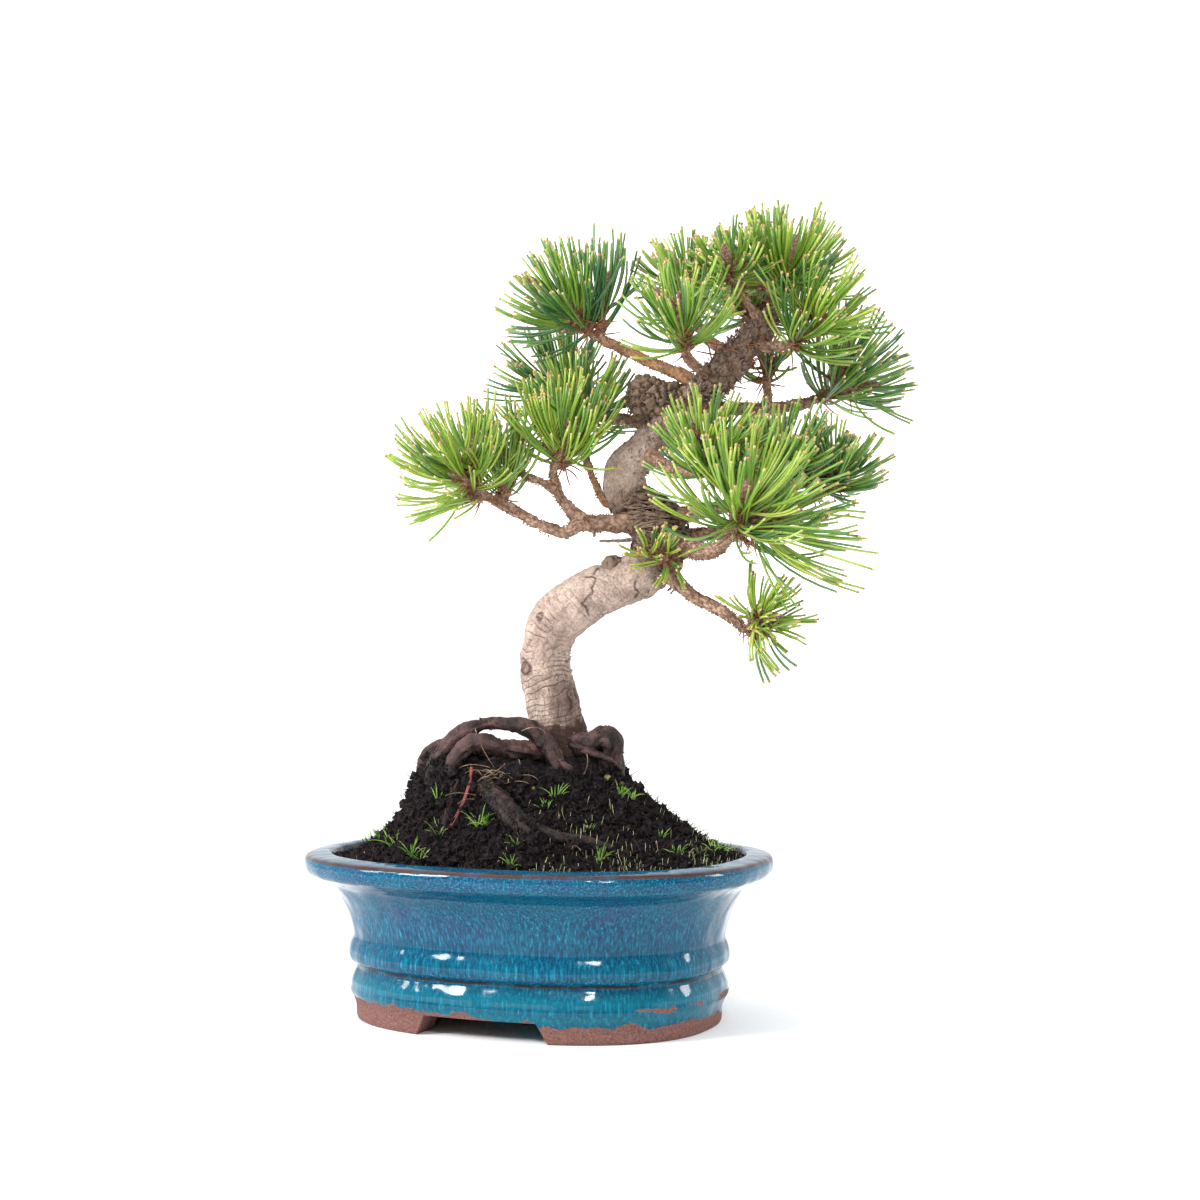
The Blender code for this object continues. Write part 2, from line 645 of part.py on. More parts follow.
def make_mass(mass, foot, way_out, shoots, skeleton, hearts, owners, rng):
    """Fuse a mass's stem, shoots and needles into one solid."""
    fork = shoots[0].base
    stem_path = [(*foot, STEM_RADIUS), (*(foot + way_out * STEM_START), STEM_RADIUS), (*fork, STEM_RADIUS)]
    stem = tube_object(mass.name, stem_path, STEM_SIDES, mass.green)
    if mass.foot:
        cutter = tube_object("cutter", limb_path(TRUNK), TRUNK_SIDES, mass.green, grow=2 * GAP)
        combine(stem, "DIFFERENCE", cutter)
    group = bpy.data.collections.new(mass.name)
    bpy.context.scene.collection.children.link(group)
    pieces = []
    laid = Skeleton()
    for shoot in shoots:
        pieces.append(tube_object("shoot", shoot_path(shoot), SHOOT_SIDES, mass.green))
        for index in range(mass.per_shoot):
            for attempt in range(NEEDLE_TRIES):
                reach = 1.0 - NEEDLE_SHORTER * attempt
                root, tip = needle_ends(mass, shoot, index, reach, rng)
                samples = np.array([root.lerp(tip, share) for share in NEEDLE_SAMPLES])
                outer = samples[NEEDLE_ROOT_SAMPLES:]
                clear = skeleton.clearance(samples, mass.name) > NEEDLE_RADIUS + NEEDLE_CLEAR
                clear = clear and laid.clearance(outer, "") > NEEDLE_RADIUS + NEEDLE_APART
                if clear and own_space(samples, hearts, owners, mass.name):
                    pieces.append(needle_object(root, tip))
                    start = root.lerp(tip, NEEDLE_ROOT_SHARE)
                    laid.add(mass.name, [(*start, NEEDLE_RADIUS), (*tip, NEEDLE_RADIUS)])
                    break
    for piece in pieces:
        bpy.context.scene.collection.objects.unlink(piece)
        group.objects.link(piece)
    combine(stem, "UNION", group)
    keep_main_body(stem)


def main():
    """Build the pot, the soil, the wood and the masses of needles."""
    clear_scene()
    rng = random.Random(SEED)
    limbs = {limb.name: limb for limb in (TRUNK, STUB, *ROOTS, *BOUGHS)}
    make_pot()
    soil = make_soil(rng)
    skeleton = Skeleton()
    for limb in limbs.values():
        make_limb(limb, limbs.get(limb.carrier))
        skeleton.add(limb.name, limb_path(limb))
    for root in ROOTS:
        cutter = tube_object("cutter", limb_path(root), LIMB_SIDES, root.bark, grow=2 * GAP)
        combine(soil, "DIFFERENCE", cutter)
    grown = []
    hearts = []
    for mass in MASSES:
        foot, way_out, heading = mass_frame(mass, limbs)
        fork, shoots = mass_shoots(mass, foot, way_out, heading, rng)
        grown.append((mass, foot, way_out, shoots))
        skeleton.add(mass.name, [(*foot, STEM_RADIUS), (*fork, STEM_RADIUS)])
        for shoot in shoots:
            skeleton.add(mass.name, shoot_path(shoot))
            heart = shoot.base.lerp(shoot.tip, HEART_PLACE)
            hearts.append((mass.name, *heart, mass.needle * HEART_TO_NEEDLE))
    owners = np.array([heart[0] for heart in hearts])
    hearts = np.array([heart[1:] for heart in hearts], float)
    for mass, foot, way_out, shoots in grown:
        make_mass(mass, foot, way_out, shoots, skeleton, hearts, owners, rng)


if __name__ == "__main__":
    main()
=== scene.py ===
"""The looks of a Japanese black pine bonsai in an oval glazed pot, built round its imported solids.

Places and sizes are in millimetres in the row's frame, with the front along -Y and Z up,
and are turned into metres where a mesh is made. Wood, soil and needles repeat the paths
and the seeded rule of the solids, more finely and within the same reach.
"""

import itertools
import logging
import math
import random
from dataclasses import dataclass, field
from enum import Enum

import bpy
import numpy as np
from mathutils import Matrix, Quaternion, Vector


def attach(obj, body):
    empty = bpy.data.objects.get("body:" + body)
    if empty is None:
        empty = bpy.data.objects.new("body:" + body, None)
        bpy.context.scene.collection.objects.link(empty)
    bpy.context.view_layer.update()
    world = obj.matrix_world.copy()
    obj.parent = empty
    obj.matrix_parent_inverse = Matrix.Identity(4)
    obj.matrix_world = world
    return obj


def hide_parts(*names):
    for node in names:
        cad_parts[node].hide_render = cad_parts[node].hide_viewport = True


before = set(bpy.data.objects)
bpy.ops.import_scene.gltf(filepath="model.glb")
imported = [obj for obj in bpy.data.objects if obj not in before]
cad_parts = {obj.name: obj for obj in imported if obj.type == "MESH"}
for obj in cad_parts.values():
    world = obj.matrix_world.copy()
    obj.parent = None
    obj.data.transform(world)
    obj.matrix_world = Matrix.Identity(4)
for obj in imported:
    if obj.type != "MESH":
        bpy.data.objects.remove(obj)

METRES = 0.001
BODY = "root"
GOLDEN_ANGLE = math.pi * (3.0 - math.sqrt(5.0))
log = logging.getLogger("bonsai")


# Numbers from places


def dice(cells: np.ndarray, seed: int) -> np.ndarray:
    """Deal one repeatable number to each whole-number cell.

    Args:
        cells: Whole numbers, three to a row.
        seed: Which deal to give.

    Returns:
        One number from 0 to 1 for each row.
    """
    key = cells[:, 0] * 73856093 ^ cells[:, 1] * 19349663 ^ cells[:, 2] * 83492791 ^ (seed + 7) * 40503377
    key = ((key ^ (key >> 13)) * 1274126177) & 0xFFFFFFFF
    key = ((key ^ (key >> 15)) * 668265263) & 0xFFFFFFFF
    return ((key ^ (key >> 16)) & 0xFFFFFF) / 0xFFFFFF


def swell(points: np.ndarray, size: float, seed: int) -> np.ndarray:
    """Give soft noise from -1 to 1.

    Args:
        points: Places in millimetres.
        size: Width of one bump in millimetres.
        seed: Which deal of the noise.

    Returns:
        One number for each place.
    """
    scaled = points / size + 1000.0
    cell = np.floor(scaled).astype(np.int64)
    part = scaled - cell
    part = part * part * (3.0 - 2.0 * part)
    total = np.zeros(len(points))
    for corner in itertools.product((0, 1), repeat=3):
        weight = np.prod(np.where(np.array(corner) == 1, part, 1.0 - part), axis=1)
        total += weight * dice(cell + np.array(corner), seed)
    return total * 2.0 - 1.0


def rough(points: np.ndarray, size: float, layers: int, seed: int) -> np.ndarray:
    """Sum layers of soft noise, each half as wide and a little over half as strong."""
    total = np.zeros(len(points))
    for layer in range(layers):
        total += swell(points, size * 0.5 ** layer, seed + layer) * 0.55 ** layer
    return total


def plates(points: np.ndarray, size: float, seed: int) -> tuple[np.ndarray, np.ndarray]:
    """Break space into plates with cracks between them.

    Args:
        points: Places in millimetres.
        size: Width of one plate in millimetres.
        seed: Which break-up.

    Returns:
        The distance to the nearest crack, from 0 up, and each plate's own number from 0 to 1.
    """
    scaled = points / size + 1000.0
    cell = np.floor(scaled).astype(np.int64)
    best = np.full(len(points), 9.0)
    second = np.full(len(points), 9.0)
    own = np.zeros(len(points))
    for offset in itertools.product((-1, 0, 1), repeat=3):
        near = cell + np.array(offset)
        heart = near + np.stack([dice(near, seed + turn) for turn in range(3)], axis=1)
        distance = np.linalg.norm(heart - scaled, axis=1)
        closer = distance < best
        second = np.where(closer, best, np.minimum(second, distance))
        own = np.where(closer, dice(near, seed + 5), own)
        best = np.where(closer, distance, best)
    return second - best, own


def ease(low: float, high: float, value: np.ndarray) -> np.ndarray:
    """Rise smoothly from 0 at low to 1 at high."""
    share = np.clip((value - low) / (high - low), 0.0, 1.0)
    return share * share * (3.0 - 2.0 * share)


def unit(vectors: np.ndarray) -> np.ndarray:
    """Scale rows to a length of 1."""
    return vectors / np.maximum(np.linalg.norm(vectors, axis=-1, keepdims=True), 1e-9)


# Meshes


@dataclass
class Shell:
    """Points, faces and numbers on points that grow into one piece."""

    points: list = field(default_factory=list)
    quads: list = field(default_factory=list)
    tris: list = field(default_factory=list)
    marks: dict = field(default_factory=dict)
    count: int = 0

    def add(self, points: np.ndarray, quads: np.ndarray | None = None,
            tris: np.ndarray | None = None, **marks: np.ndarray) -> None:
        """Add a part.

        Args:
            points: Its places in millimetres.
            quads: Its four-sided faces.
            tris: Its three-sided faces.
            marks: Named numbers, one for each point, that the finish can read.
        """
        if quads is not None and len(quads):
            self.quads.append(np.asarray(quads, np.int64) + self.count)
        if tris is not None and len(tris):
            self.tris.append(np.asarray(tris, np.int64) + self.count)
        for name, values in marks.items():
            self.marks.setdefault(name, []).append(np.asarray(values, float))
        self.points.append(np.asarray(points, float))
        self.count += len(points)

    def triangles(self) -> int:
        """Count the triangles."""
        return 2 * sum(map(len, self.quads)) + sum(map(len, self.tris))

    def piece(self, name: str, finish: bpy.types.Material, slot: str, nodes: tuple = (),
              smooth: bool = True) -> bpy.types.Object:
        """Make the piece and fix it to the plant.

        Args:
            name: The piece's name.
            finish: Its material.
            slot: The record's material slot it belongs to; not used.
            nodes: The solids it stands for.
            smooth: Whether its faces are shaded round.

        Returns:
            The new object.
        """
        quads = np.concatenate(self.quads) if self.quads else np.zeros((0, 4), np.int64)
        tris = np.concatenate(self.tris) if self.tris else np.zeros((0, 3), np.int64)
        corners = np.concatenate([quads.ravel(), tris.ravel()])
        starts = np.concatenate([np.arange(len(quads)) * 4, len(quads) * 4 + np.arange(len(tris)) * 3])
        mesh = bpy.data.meshes.new(name)
        mesh.vertices.add(self.count)
        mesh.vertices.foreach_set("co", (np.concatenate(self.points) * METRES).ravel())
        mesh.loops.add(len(corners))
        mesh.loops.foreach_set("vertex_index", corners)
        mesh.polygons.add(len(starts))
        mesh.polygons.foreach_set("loop_start", starts)
        mesh.update(calc_edges=True)
        mesh.polygons.foreach_set("use_smooth", np.full(len(starts), smooth))
        for mark, values in self.marks.items():
            layer = mesh.attributes.new(mark, "FLOAT", "POINT")
            layer.data.foreach_set("value", np.concatenate(values))
        mesh.materials.append(finish)
        thing = bpy.data.objects.new(name, mesh)
        bpy.context.scene.collection.objects.link(thing)
        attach(thing, BODY)
        if nodes:
            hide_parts(*nodes)
        log.info("%s: %d triangles", name, self.triangles())
        return thing


def smooth_path(points: tuple, step: float) -> np.ndarray:
    """Run a smooth curve through knots.

    Args:
        points: Rows of x, y, z and radius.
        step: Distance between the curve's points.

    Returns:
        Rows of x, y, z and radius along the curve.
    """
    knots = [np.array(point, float) for point in points]
    knots = [2 * knots[0] - knots[1]] + knots + [2 * knots[-1] - knots[-2]]
    path = []
    for index in range(1, len(knots) - 2):
        before, start, end, after = knots[index - 1:index + 3]
        pieces = max(1, round(np.linalg.norm(end[:3] - start[:3]) / step))
        for piece in range(pieces):
            t = piece / pieces
            bend = 2 * start + (end - before) * t
            bend = bend + (2 * before - 5 * start + 4 * end - after) * t ** 2
            bend = bend + (3 * start - before - 3 * end + after) * t ** 3
            path.append(bend / 2)
    path.append(knots[-2])
    return np.array(path)


@dataclass
class Tube:
    """A fine tube along a path, kept as rings of points that a relief can move."""

    path: np.ndarray
    sides: int

    def __post_init__(self) -> None:
        """Lay the rings, carried along the path without twist."""
        centres = self.path[:, :3]
        ways = unit(np.gradient(centres, axis=0))
        across = np.array((1.0, 0.0, 0.0))
        rows = []
        for way in ways:
            across = unit(across - way * across.dot(way))
            rows.append(across)
        first = np.array(rows)
        second = np.cross(ways, first)
        angle = 2 * math.pi * np.arange(self.sides) / self.sides
        out = first[:, None] * np.cos(angle)[None, :, None] + second[:, None] * np.sin(angle)[None, :, None]
        self.out = out.reshape(-1, 3)
        self.ways = ways
        self.centres = np.repeat(centres, self.sides, axis=0)
        self.radii = np.repeat(self.path[:, 3], self.sides)
        steps = np.linalg.norm(np.diff(centres, axis=0), axis=1)
        self.along = np.repeat(np.concatenate([[0.0], np.cumsum(steps)]), self.sides)
        self.angle = np.tile(angle, len(centres))

    def surface(self) -> np.ndarray:
        """Give the points of the plain tube."""
        return self.centres + self.out * self.radii[:, None]

    def add_to(self, shell: Shell, relief: np.ndarray | float = 0.0, **marks: np.ndarray) -> None:
        """Add the tube to a shell, moved outwards by a relief, with rounded closed ends.

        Args:
            shell: What it is added to.
            relief: Outward shift of each point in millimetres.
            marks: Named numbers for the points.
        """
        rings = len(self.path)
        body = self.centres + self.out * np.maximum(self.radii + relief, 0.05)[:, None]
        start = self.path[0, :3] - self.ways[0] * self.path[0, 3] * 0.15
        end = self.path[-1, :3] + self.ways[-1] * self.path[-1, 3] * 0.35
        points = np.concatenate([body, [start, end]])
        ring, side = np.meshgrid(np.arange(rings - 1), np.arange(self.sides), indexing="ij")
        here = (ring * self.sides + side).ravel()
        after = (ring * self.sides + (side + 1) % self.sides).ravel()
        quads = np.stack([here, after, after + self.sides, here + self.sides], axis=1)
        side = np.arange(self.sides)
        nxt = (side + 1) % self.sides
        last = (rings - 1) * self.sides
        first_cap = np.stack([nxt, side, np.full(self.sides, len(body))], axis=1)
        last_cap = np.stack([last + side, last + nxt, np.full(self.sides, len(body) + 1)], axis=1)
        marks = {name: np.append(values, [values[0], values[-1]]) for name, values in marks.items()}
        shell.add(points, quads, np.concatenate([first_cap, last_cap]), **marks)


def blades(shell: Shell, roots: np.ndarray, bends: np.ndarray, tips: np.ndarray,
           widths: tuple, steps: int = 5, sides: int = 3, spin: np.ndarray | None = None) -> None:
    """Add many thin tapering blades that curve from root to tip.

    Args:
        shell: What they are added to.
        roots: Where they start.
        bends: The point that draws each curve out.
        tips: Where they end.
        widths: Radii in millimetres, spread evenly from root to tip.
        steps: Lengths in each blade.
        sides: Faces round each blade.
        spin: Turn of each blade about itself, in radians.
    """
    if not len(roots):
        return
    share = np.linspace(0.0, 1.0, steps + 1)[None, :, None]
    line = roots[:, None] * (1 - share) ** 2 + bends[:, None] * 2 * share * (1 - share) + tips[:, None] * share ** 2
    ways = unit(np.gradient(line, axis=1))
    guide = np.where(np.abs(ways[:, :1, 2:3]) > 0.9, np.array([[[1.0, 0.0, 0.0]]]), np.array([[[0.0, 0.0, 1.0]]]))
    first = unit(np.cross(ways, guide))
    second = np.cross(ways, first)
    angle = 2 * math.pi * np.arange(sides)[None, None, :, None] / sides
    if spin is not None:
        angle = angle + spin[:, None, None, None]
    radius = np.interp(np.linspace(0, 1, steps + 1), np.linspace(0, 1, len(widths)), widths)[None, :, None, None]
    out = first[:, :, None] * np.cos(angle) + second[:, :, None] * np.sin(angle)
    points = (line[:, :, None] + out * radius).reshape(-1, 3)
    each = (steps + 1) * sides
    base = np.arange(len(roots))[:, None, None] * each
    ring = np.arange(steps)[None, :, None] * sides
    side = np.arange(sides)[None, None, :]
    here = (base + ring + side).ravel()
    after = (base + ring + (side + 1) % sides).ravel()
    quads = np.stack([here, after, after + sides, here + sides], axis=1)
    end = (np.arange(len(roots)) * each + steps * sides)[:, None]
    if sides == 3:
        caps = end + np.arange(3)[None]
        shell.add(points, quads, caps)
    else:
        fan = [end + np.array([[0, turn, turn + 1]]) for turn in range(1, sides - 1)]
        shell.add(points, quads, np.concatenate(fan))


# Finishes


def srgb(code: str) -> tuple[float, float, float, float]:
    """Turn an sRGB hex colour into linear red, green, blue and full cover."""
    parts = [int(code[start:start + 2], 16) / 255.0 for start in (1, 3, 5)]
    linear = [part / 12.92 if part <= 0.04045 else ((part + 0.055) / 1.055) ** 2.4 for part in parts]
    return (*linear, 1.0)


def add_node(tree: bpy.types.NodeTree, kind: str, settings: dict | None = None,
             links: dict | None = None) -> bpy.types.Node:
    """Add one shader node.

    Args:
        tree: The material's nodes.
        kind: The node's kind, without the common prefix.
        settings: Values by property or input; "stops" gives a ramp's places and hex colours.
        links: The socket that feeds each named or numbered input.

    Returns:
        The new node.
    """
    node = tree.nodes.new("ShaderNode" + kind)
    for name, value in (settings or {}).items():
        if name == "stops":
            ramp = node.color_ramp.elements
            while len(ramp) < len(value):
                ramp.new(1.0)
            for element, (place, code) in zip(ramp, value):
                element.position = place
                element.color = srgb(code)
        elif isinstance(name, str) and hasattr(node, name):
            setattr(node, name, value)
        else:
            node.inputs[name].default_value = value
    for name, source in (links or {}).items():
        tree.links.new(source, node.inputs[name])
    return node


def per_mm(width: float) -> float:
    """Give the texture scale whose features are a width in millimetres across."""
    return 1.0 / (width * METRES)


@dataclass(frozen=True)
class Finish:
    """What every finish has: a name, gloss, depth of relief and strength of its mirrored light."""

    name: str
    roughness: float = 0.6
    ior: float = 1.45
    relief: float = 0.2
    gleam: float = 0.5

    def start(self) -> tuple[bpy.types.Material, bpy.types.NodeTree, bpy.types.Node, bpy.types.NodeSocket]:
        """Make the material and give its nodes, its shader and the row's own coordinates."""
        material = bpy.data.materials.new(self.name)
        material.use_nodes = True
        tree = material.node_tree
        shader = tree.nodes["Principled BSDF"]
        shader.inputs["Roughness"].default_value = self.roughness
        shader.inputs["IOR"].default_value = self.ior
        shader.inputs["Specular IOR Level"].default_value = self.gleam
        place = add_node(tree, "TexCoord").outputs["Object"]
        return material, tree, shader, place

    def noise(self, tree: bpy.types.NodeTree, place: bpy.types.NodeSocket, width: float,
              detail: float = 2.0, stretch: tuple = (1.0, 1.0, 1.0), shift: float = 0.0) -> bpy.types.NodeSocket:
        """Give soft noise with features of a width in millimetres, stretched along some axes.

        Args:
            tree: The material's nodes.
            place: Coordinates in metres.
            width: Feature width in millimetres.
            detail: Finer layers on top.
            stretch: How many times longer the features are along x, y and z.
            shift: Offset in metres, so that two noises differ.

        Returns:
            The socket of the noise's value.
        """
        scale = [1.0 / length for length in stretch]
        moved = add_node(tree, "Mapping", {"Scale": scale, "Location": (shift, shift, shift)}, {"Vector": place})
        settings = {"Scale": per_mm(width), "Detail": detail, "Roughness": 0.6}
        return add_node(tree, "TexNoise", settings, {"Vector": moved.outputs[0]}).outputs["Fac"]

    def bump(self, tree: bpy.types.NodeTree, shader: bpy.types.Node, height: bpy.types.NodeSocket,
             depth: float, strength: float = 1.0) -> None:
        """Raise the surface by a height from 0 to 1, times a depth in millimetres."""
        settings = {"Distance": depth * METRES, "Strength": strength}
        made = add_node(tree, "Bump", settings, {"Height": height})
        tree.links.new(made.outputs["Normal"], shader.inputs["Normal"])

    def mix(self, tree: bpy.types.NodeTree, share: bpy.types.NodeSocket, low: object, high: object,
            blend: str = "MIX") -> bpy.types.NodeSocket:
        """Mix two colours, each a hex code or a socket, by a share from 0 to 1."""
        made = add_node(tree, "Mix", {"data_type": "RGBA", "blend_type": blend})
        for value, socket in ((share, made.inputs[0]), (low, made.inputs[6]), (high, made.inputs[7])):
            if isinstance(value, str):
                socket.default_value = srgb(value)
            elif isinstance(value, float):
                socket.default_value = value
            else:
                tree.links.new(value, socket)
        return made.outputs[2]

    def ramp(self, tree: bpy.types.NodeTree, source: bpy.types.NodeSocket, stops: tuple) -> bpy.types.NodeSocket:
        """Colour a value by stops of place and hex code."""
        return add_node(tree, "ValToRGB", {"stops": stops}, {"Fac": source}).outputs["Color"]


@dataclass(frozen=True)
class DrippedGlaze(Finish):
    """Stoneware under a poured teal glaze that ran down the wall, and bare where the foot was wiped.

    The glaze is glassy and smooth, streaked by its own flow, thin and brown on sharp edges,
    dark where it pooled in a groove. The fired clay under it is matt and reddish.
    """

    wall_height: float = 66.0
    streak: float = 0.75
    streak_stretch: float = 22.0
    speckle: float = 0.7
    patch: float = 34.0
    clay_grain: float = 0.8

    def height(self, tree: bpy.types.NodeTree, place: bpy.types.NodeSocket, waver: float) -> bpy.types.NodeSocket:
        """Give the height up the pot from 0 to 1, with a waver of some millimetres in it."""
        along = add_node(tree, "SeparateXYZ", {}, {0: place}).outputs["Z"]
        wave = self.noise(tree, place, 13.0, 2.0, shift=0.4)
        shift = add_node(tree, "MapRange", {"To Min": -waver * METRES, "To Max": waver * METRES}, {"Value": wave})
        total = add_node(tree, "Math", {"operation": "ADD"}, {0: along, 1: shift.outputs[0]})
        settings = {"From Min": 0.0, "From Max": self.wall_height * METRES}
        return add_node(tree, "MapRange", settings, {"Value": total.outputs[0]}).outputs[0]

    def level(self, millimetres: float) -> float:
        """Give a height in millimetres as a share of the wall."""
        return millimetres / self.wall_height

    def material(self) -> bpy.types.Material:
        """Make the material."""
        material, tree, shader, place = self.start()
        streak = self.noise(tree, place, self.streak, 3.0, (1.0, 1.0, self.streak_stretch))
        steady = self.height(tree, place, 0.4)
        speckle = self.noise(tree, place, self.speckle, 2.0, shift=0.7)
        rim = self.ramp(tree, steady, ((self.level(53), "#000000"), (self.level(57), "#FFFFFF")))
        streak = self.mix(tree, rim, streak, speckle)
        flow = self.ramp(tree, streak, (
            (0.24, "#022A44"), (0.42, "#033A58"), (0.54, "#045170"), (0.64, "#0A6C8A"), (0.80, "#43A0B6")))
        cloud = self.noise(tree, place, 22.0, 3.0, (1.0, 1.0, 1.6), shift=1.1)
        flow = self.mix(tree, self.ramp(tree, cloud, ((0.36, "#000000"), (0.66, "#808080"))), flow, "#0C6474")
        flecks = self.ramp(tree, speckle, ((0.54, "#000000"), (0.74, "#3E7482")))
        glaze = self.mix(tree, 0.22, flow, flecks, "SCREEN")
        patch = self.noise(tree, place, self.patch, 2.5, (1.0, 1.0, 0.8), shift=0.2)
        fingers = self.noise(tree, place, 2.6, 2.0, (1.0, 1.0, 7.0), shift=0.5)
        patch = self.mix(tree, 0.28, patch, fingers)
        rise = self.ramp(tree, steady, (
            (self.level(14), "#404040"), (self.level(32), "#303030"), (self.level(40), "#A0A0A0"),
            (self.level(47), "#FFFFFF"), (self.level(58), "#B0B0B0")))
        cover = self.mix(tree, 1.0, self.ramp(tree, patch, ((0.44, "#000000"), (0.58, "#D8D8D8"))), rise, "MULTIPLY")
        veil = self.mix(tree, streak, "#142048", "#46507E")
        glaze = self.mix(tree, cover, glaze, veil)
        pooled = self.ramp(tree, steady, (
            (self.level(8), "#2A2A2A"), (self.level(15), "#000000"), (self.level(19.5), "#909090"),
            (self.level(23), "#101010"), (self.level(29.5), "#303030"), (self.level(33), "#6E6E6E"),
            (self.level(37), "#000000"), (self.level(50), "#000000"), (self.level(54.6), "#A0A0A0"),
            (self.level(57.5), "#000000")))
        glaze = self.mix(tree, pooled, glaze, "#042B3C")
        thin = self.ramp(tree, steady, (
            (self.level(5), "#000000"), (self.level(9), "#909090"), (self.level(12.4), "#505050"),
            (self.level(15), "#8C8C8C"), (self.level(18), "#606060"), (self.level(20), "#000000"),
            (self.level(25), "#202020"), (self.level(27), "#505050"), (self.level(31), "#000000")))
        glaze = self.mix(tree, thin, glaze, "#1E8C94")
        waved = self.height(tree, place, 0.7)
        lines = self.ramp(tree, waved, (
            (self.level(20.2), "#000000"), (self.level(20.8), "#FFFFFF"), (self.level(21.5), "#FFFFFF"),
            (self.level(22.0), "#000000")))
        broken = self.ramp(tree, self.noise(tree, place, 9.0, 3.0, shift=1.3), ((0.34, "#707070"), (0.52, "#FFFFFF")))
        glaze = self.mix(tree, self.mix(tree, 1.0, lines, broken, "MULTIPLY"), glaze, "#1A1010")
        lip = self.ramp(tree, self.height(tree, place, 0.25), (
            (self.level(61.9), "#000000"), (self.level(62.4), "#FFFFFF"), (self.level(63.3), "#FFFFFF"),
            (self.level(63.6), "#303030"), (self.level(63.9), "#000000")))
        glaze = self.mix(tree, self.mix(tree, 0.5, lip, broken, "MULTIPLY"), glaze, "#3E2622")
        foot = self.bare_foot(tree, place)
        grain = self.noise(tree, place, self.clay_grain, 4.0)
        clay = self.ramp(tree, grain, ((0.28, "#5E403A"), (0.50, "#7E5850"), (0.74, "#97706A")))
        colour = self.mix(tree, foot, glaze, clay)
        tree.links.new(colour, shader.inputs["Base Color"])
        gloss = add_node(tree, "MapRange", {"To Min": self.roughness, "To Max": 0.82}, {"Value": foot})
        tree.links.new(gloss.outputs[0], shader.inputs["Roughness"])
        pits = self.noise(tree, place, 9.0, 0.5, (1.0, 1.0, 1.3), shift=2.1)
        height = self.mix(tree, foot, pits, grain)
        self.bump(tree, shader, height, self.relief)
        return material

    def bare_foot(self, tree: bpy.types.NodeTree, place: bpy.types.NodeSocket) -> bpy.types.NodeSocket:
        """Give where the clay is bare: below a wavy edge that climbs towards the left end, and in a worn streak."""
        parts = add_node(tree, "SeparateXYZ", {}, {0: place})
        wave = self.noise(tree, place, 11.0, 1.5, shift=0.9)
        settings = {"From Min": 0.3, "From Max": 0.7, "To Min": -2.2 * METRES, "To Max": 2.2 * METRES}
        sway = add_node(tree, "MapRange", settings, {"Value": wave}).outputs[0]
        settings = {"From Min": -0.055, "From Max": -0.020, "To Min": 9.4 * METRES, "To Max": 6.2 * METRES}
        edge = add_node(tree, "MapRange", settings, {"Value": parts.outputs["X"]}).outputs[0]
        total = add_node(tree, "Math", {"operation": "ADD"}, {0: edge, 1: sway}).outputs[0]
        under = add_node(tree, "Math", {"operation": "SUBTRACT"}, {0: total, 1: parts.outputs["Z"]}).outputs[0]
        settings = {"From Min": -0.2 * METRES, "From Max": 0.2 * METRES}
        low = add_node(tree, "MapRange", settings, {"Value": under}).outputs[0]
        settings = {"From Min": -0.01, "From Max": 0.03, "To Min": -0.2, "To Max": 0.14}
        right = add_node(tree, "MapRange", settings, {"Value": parts.outputs["X"]}).outputs[0]
        worn = self.noise(tree, place, 16.0, 2.0, (1.0, 1.0, 0.35), shift=3.3)
        worn = add_node(tree, "Math", {"operation": "ADD"}, {0: worn, 1: right}).outputs[0]
        worn = self.ramp(tree, worn, ((0.58, "#000000"), (0.62, "#FFFFFF")))
        band = self.ramp(tree, self.height(tree, place, 1.8), (
            (self.level(10.2), "#000000"), (self.level(10.8), "#FFFFFF"), (self.level(12.6), "#FFFFFF"),
            (self.level(13.4), "#000000")))
        patchy = self.mix(tree, 1.0, worn, band, "MULTIPLY")
        return self.mix(tree, 1.0, self.mix(tree, low, "#000000", "#FFFFFF"), patchy, "LIGHTEN")


class BarkAge(Enum):
    """How old a limb's bark is, with its plate, pale, middle, crack and tint colours; the crack colour also paints
    shade.
    """

    TRUNK = ("#D2BCAE", "#AC968A", "#3C2820", "#98826F")
    ROUGH = ("#937C66", "#655244", "#1F1612", "#6F6B55")
    TWIG = ("#D4AF98", "#AA8269", "#442D24", "#AE9C84")
    ORANGE = ("#D8A87C", "#AC7C5A", "#623C2A", "#B09684")
    ROOT = ("#6A4C49", "#2E1E1D", "#080505", "#36352E")


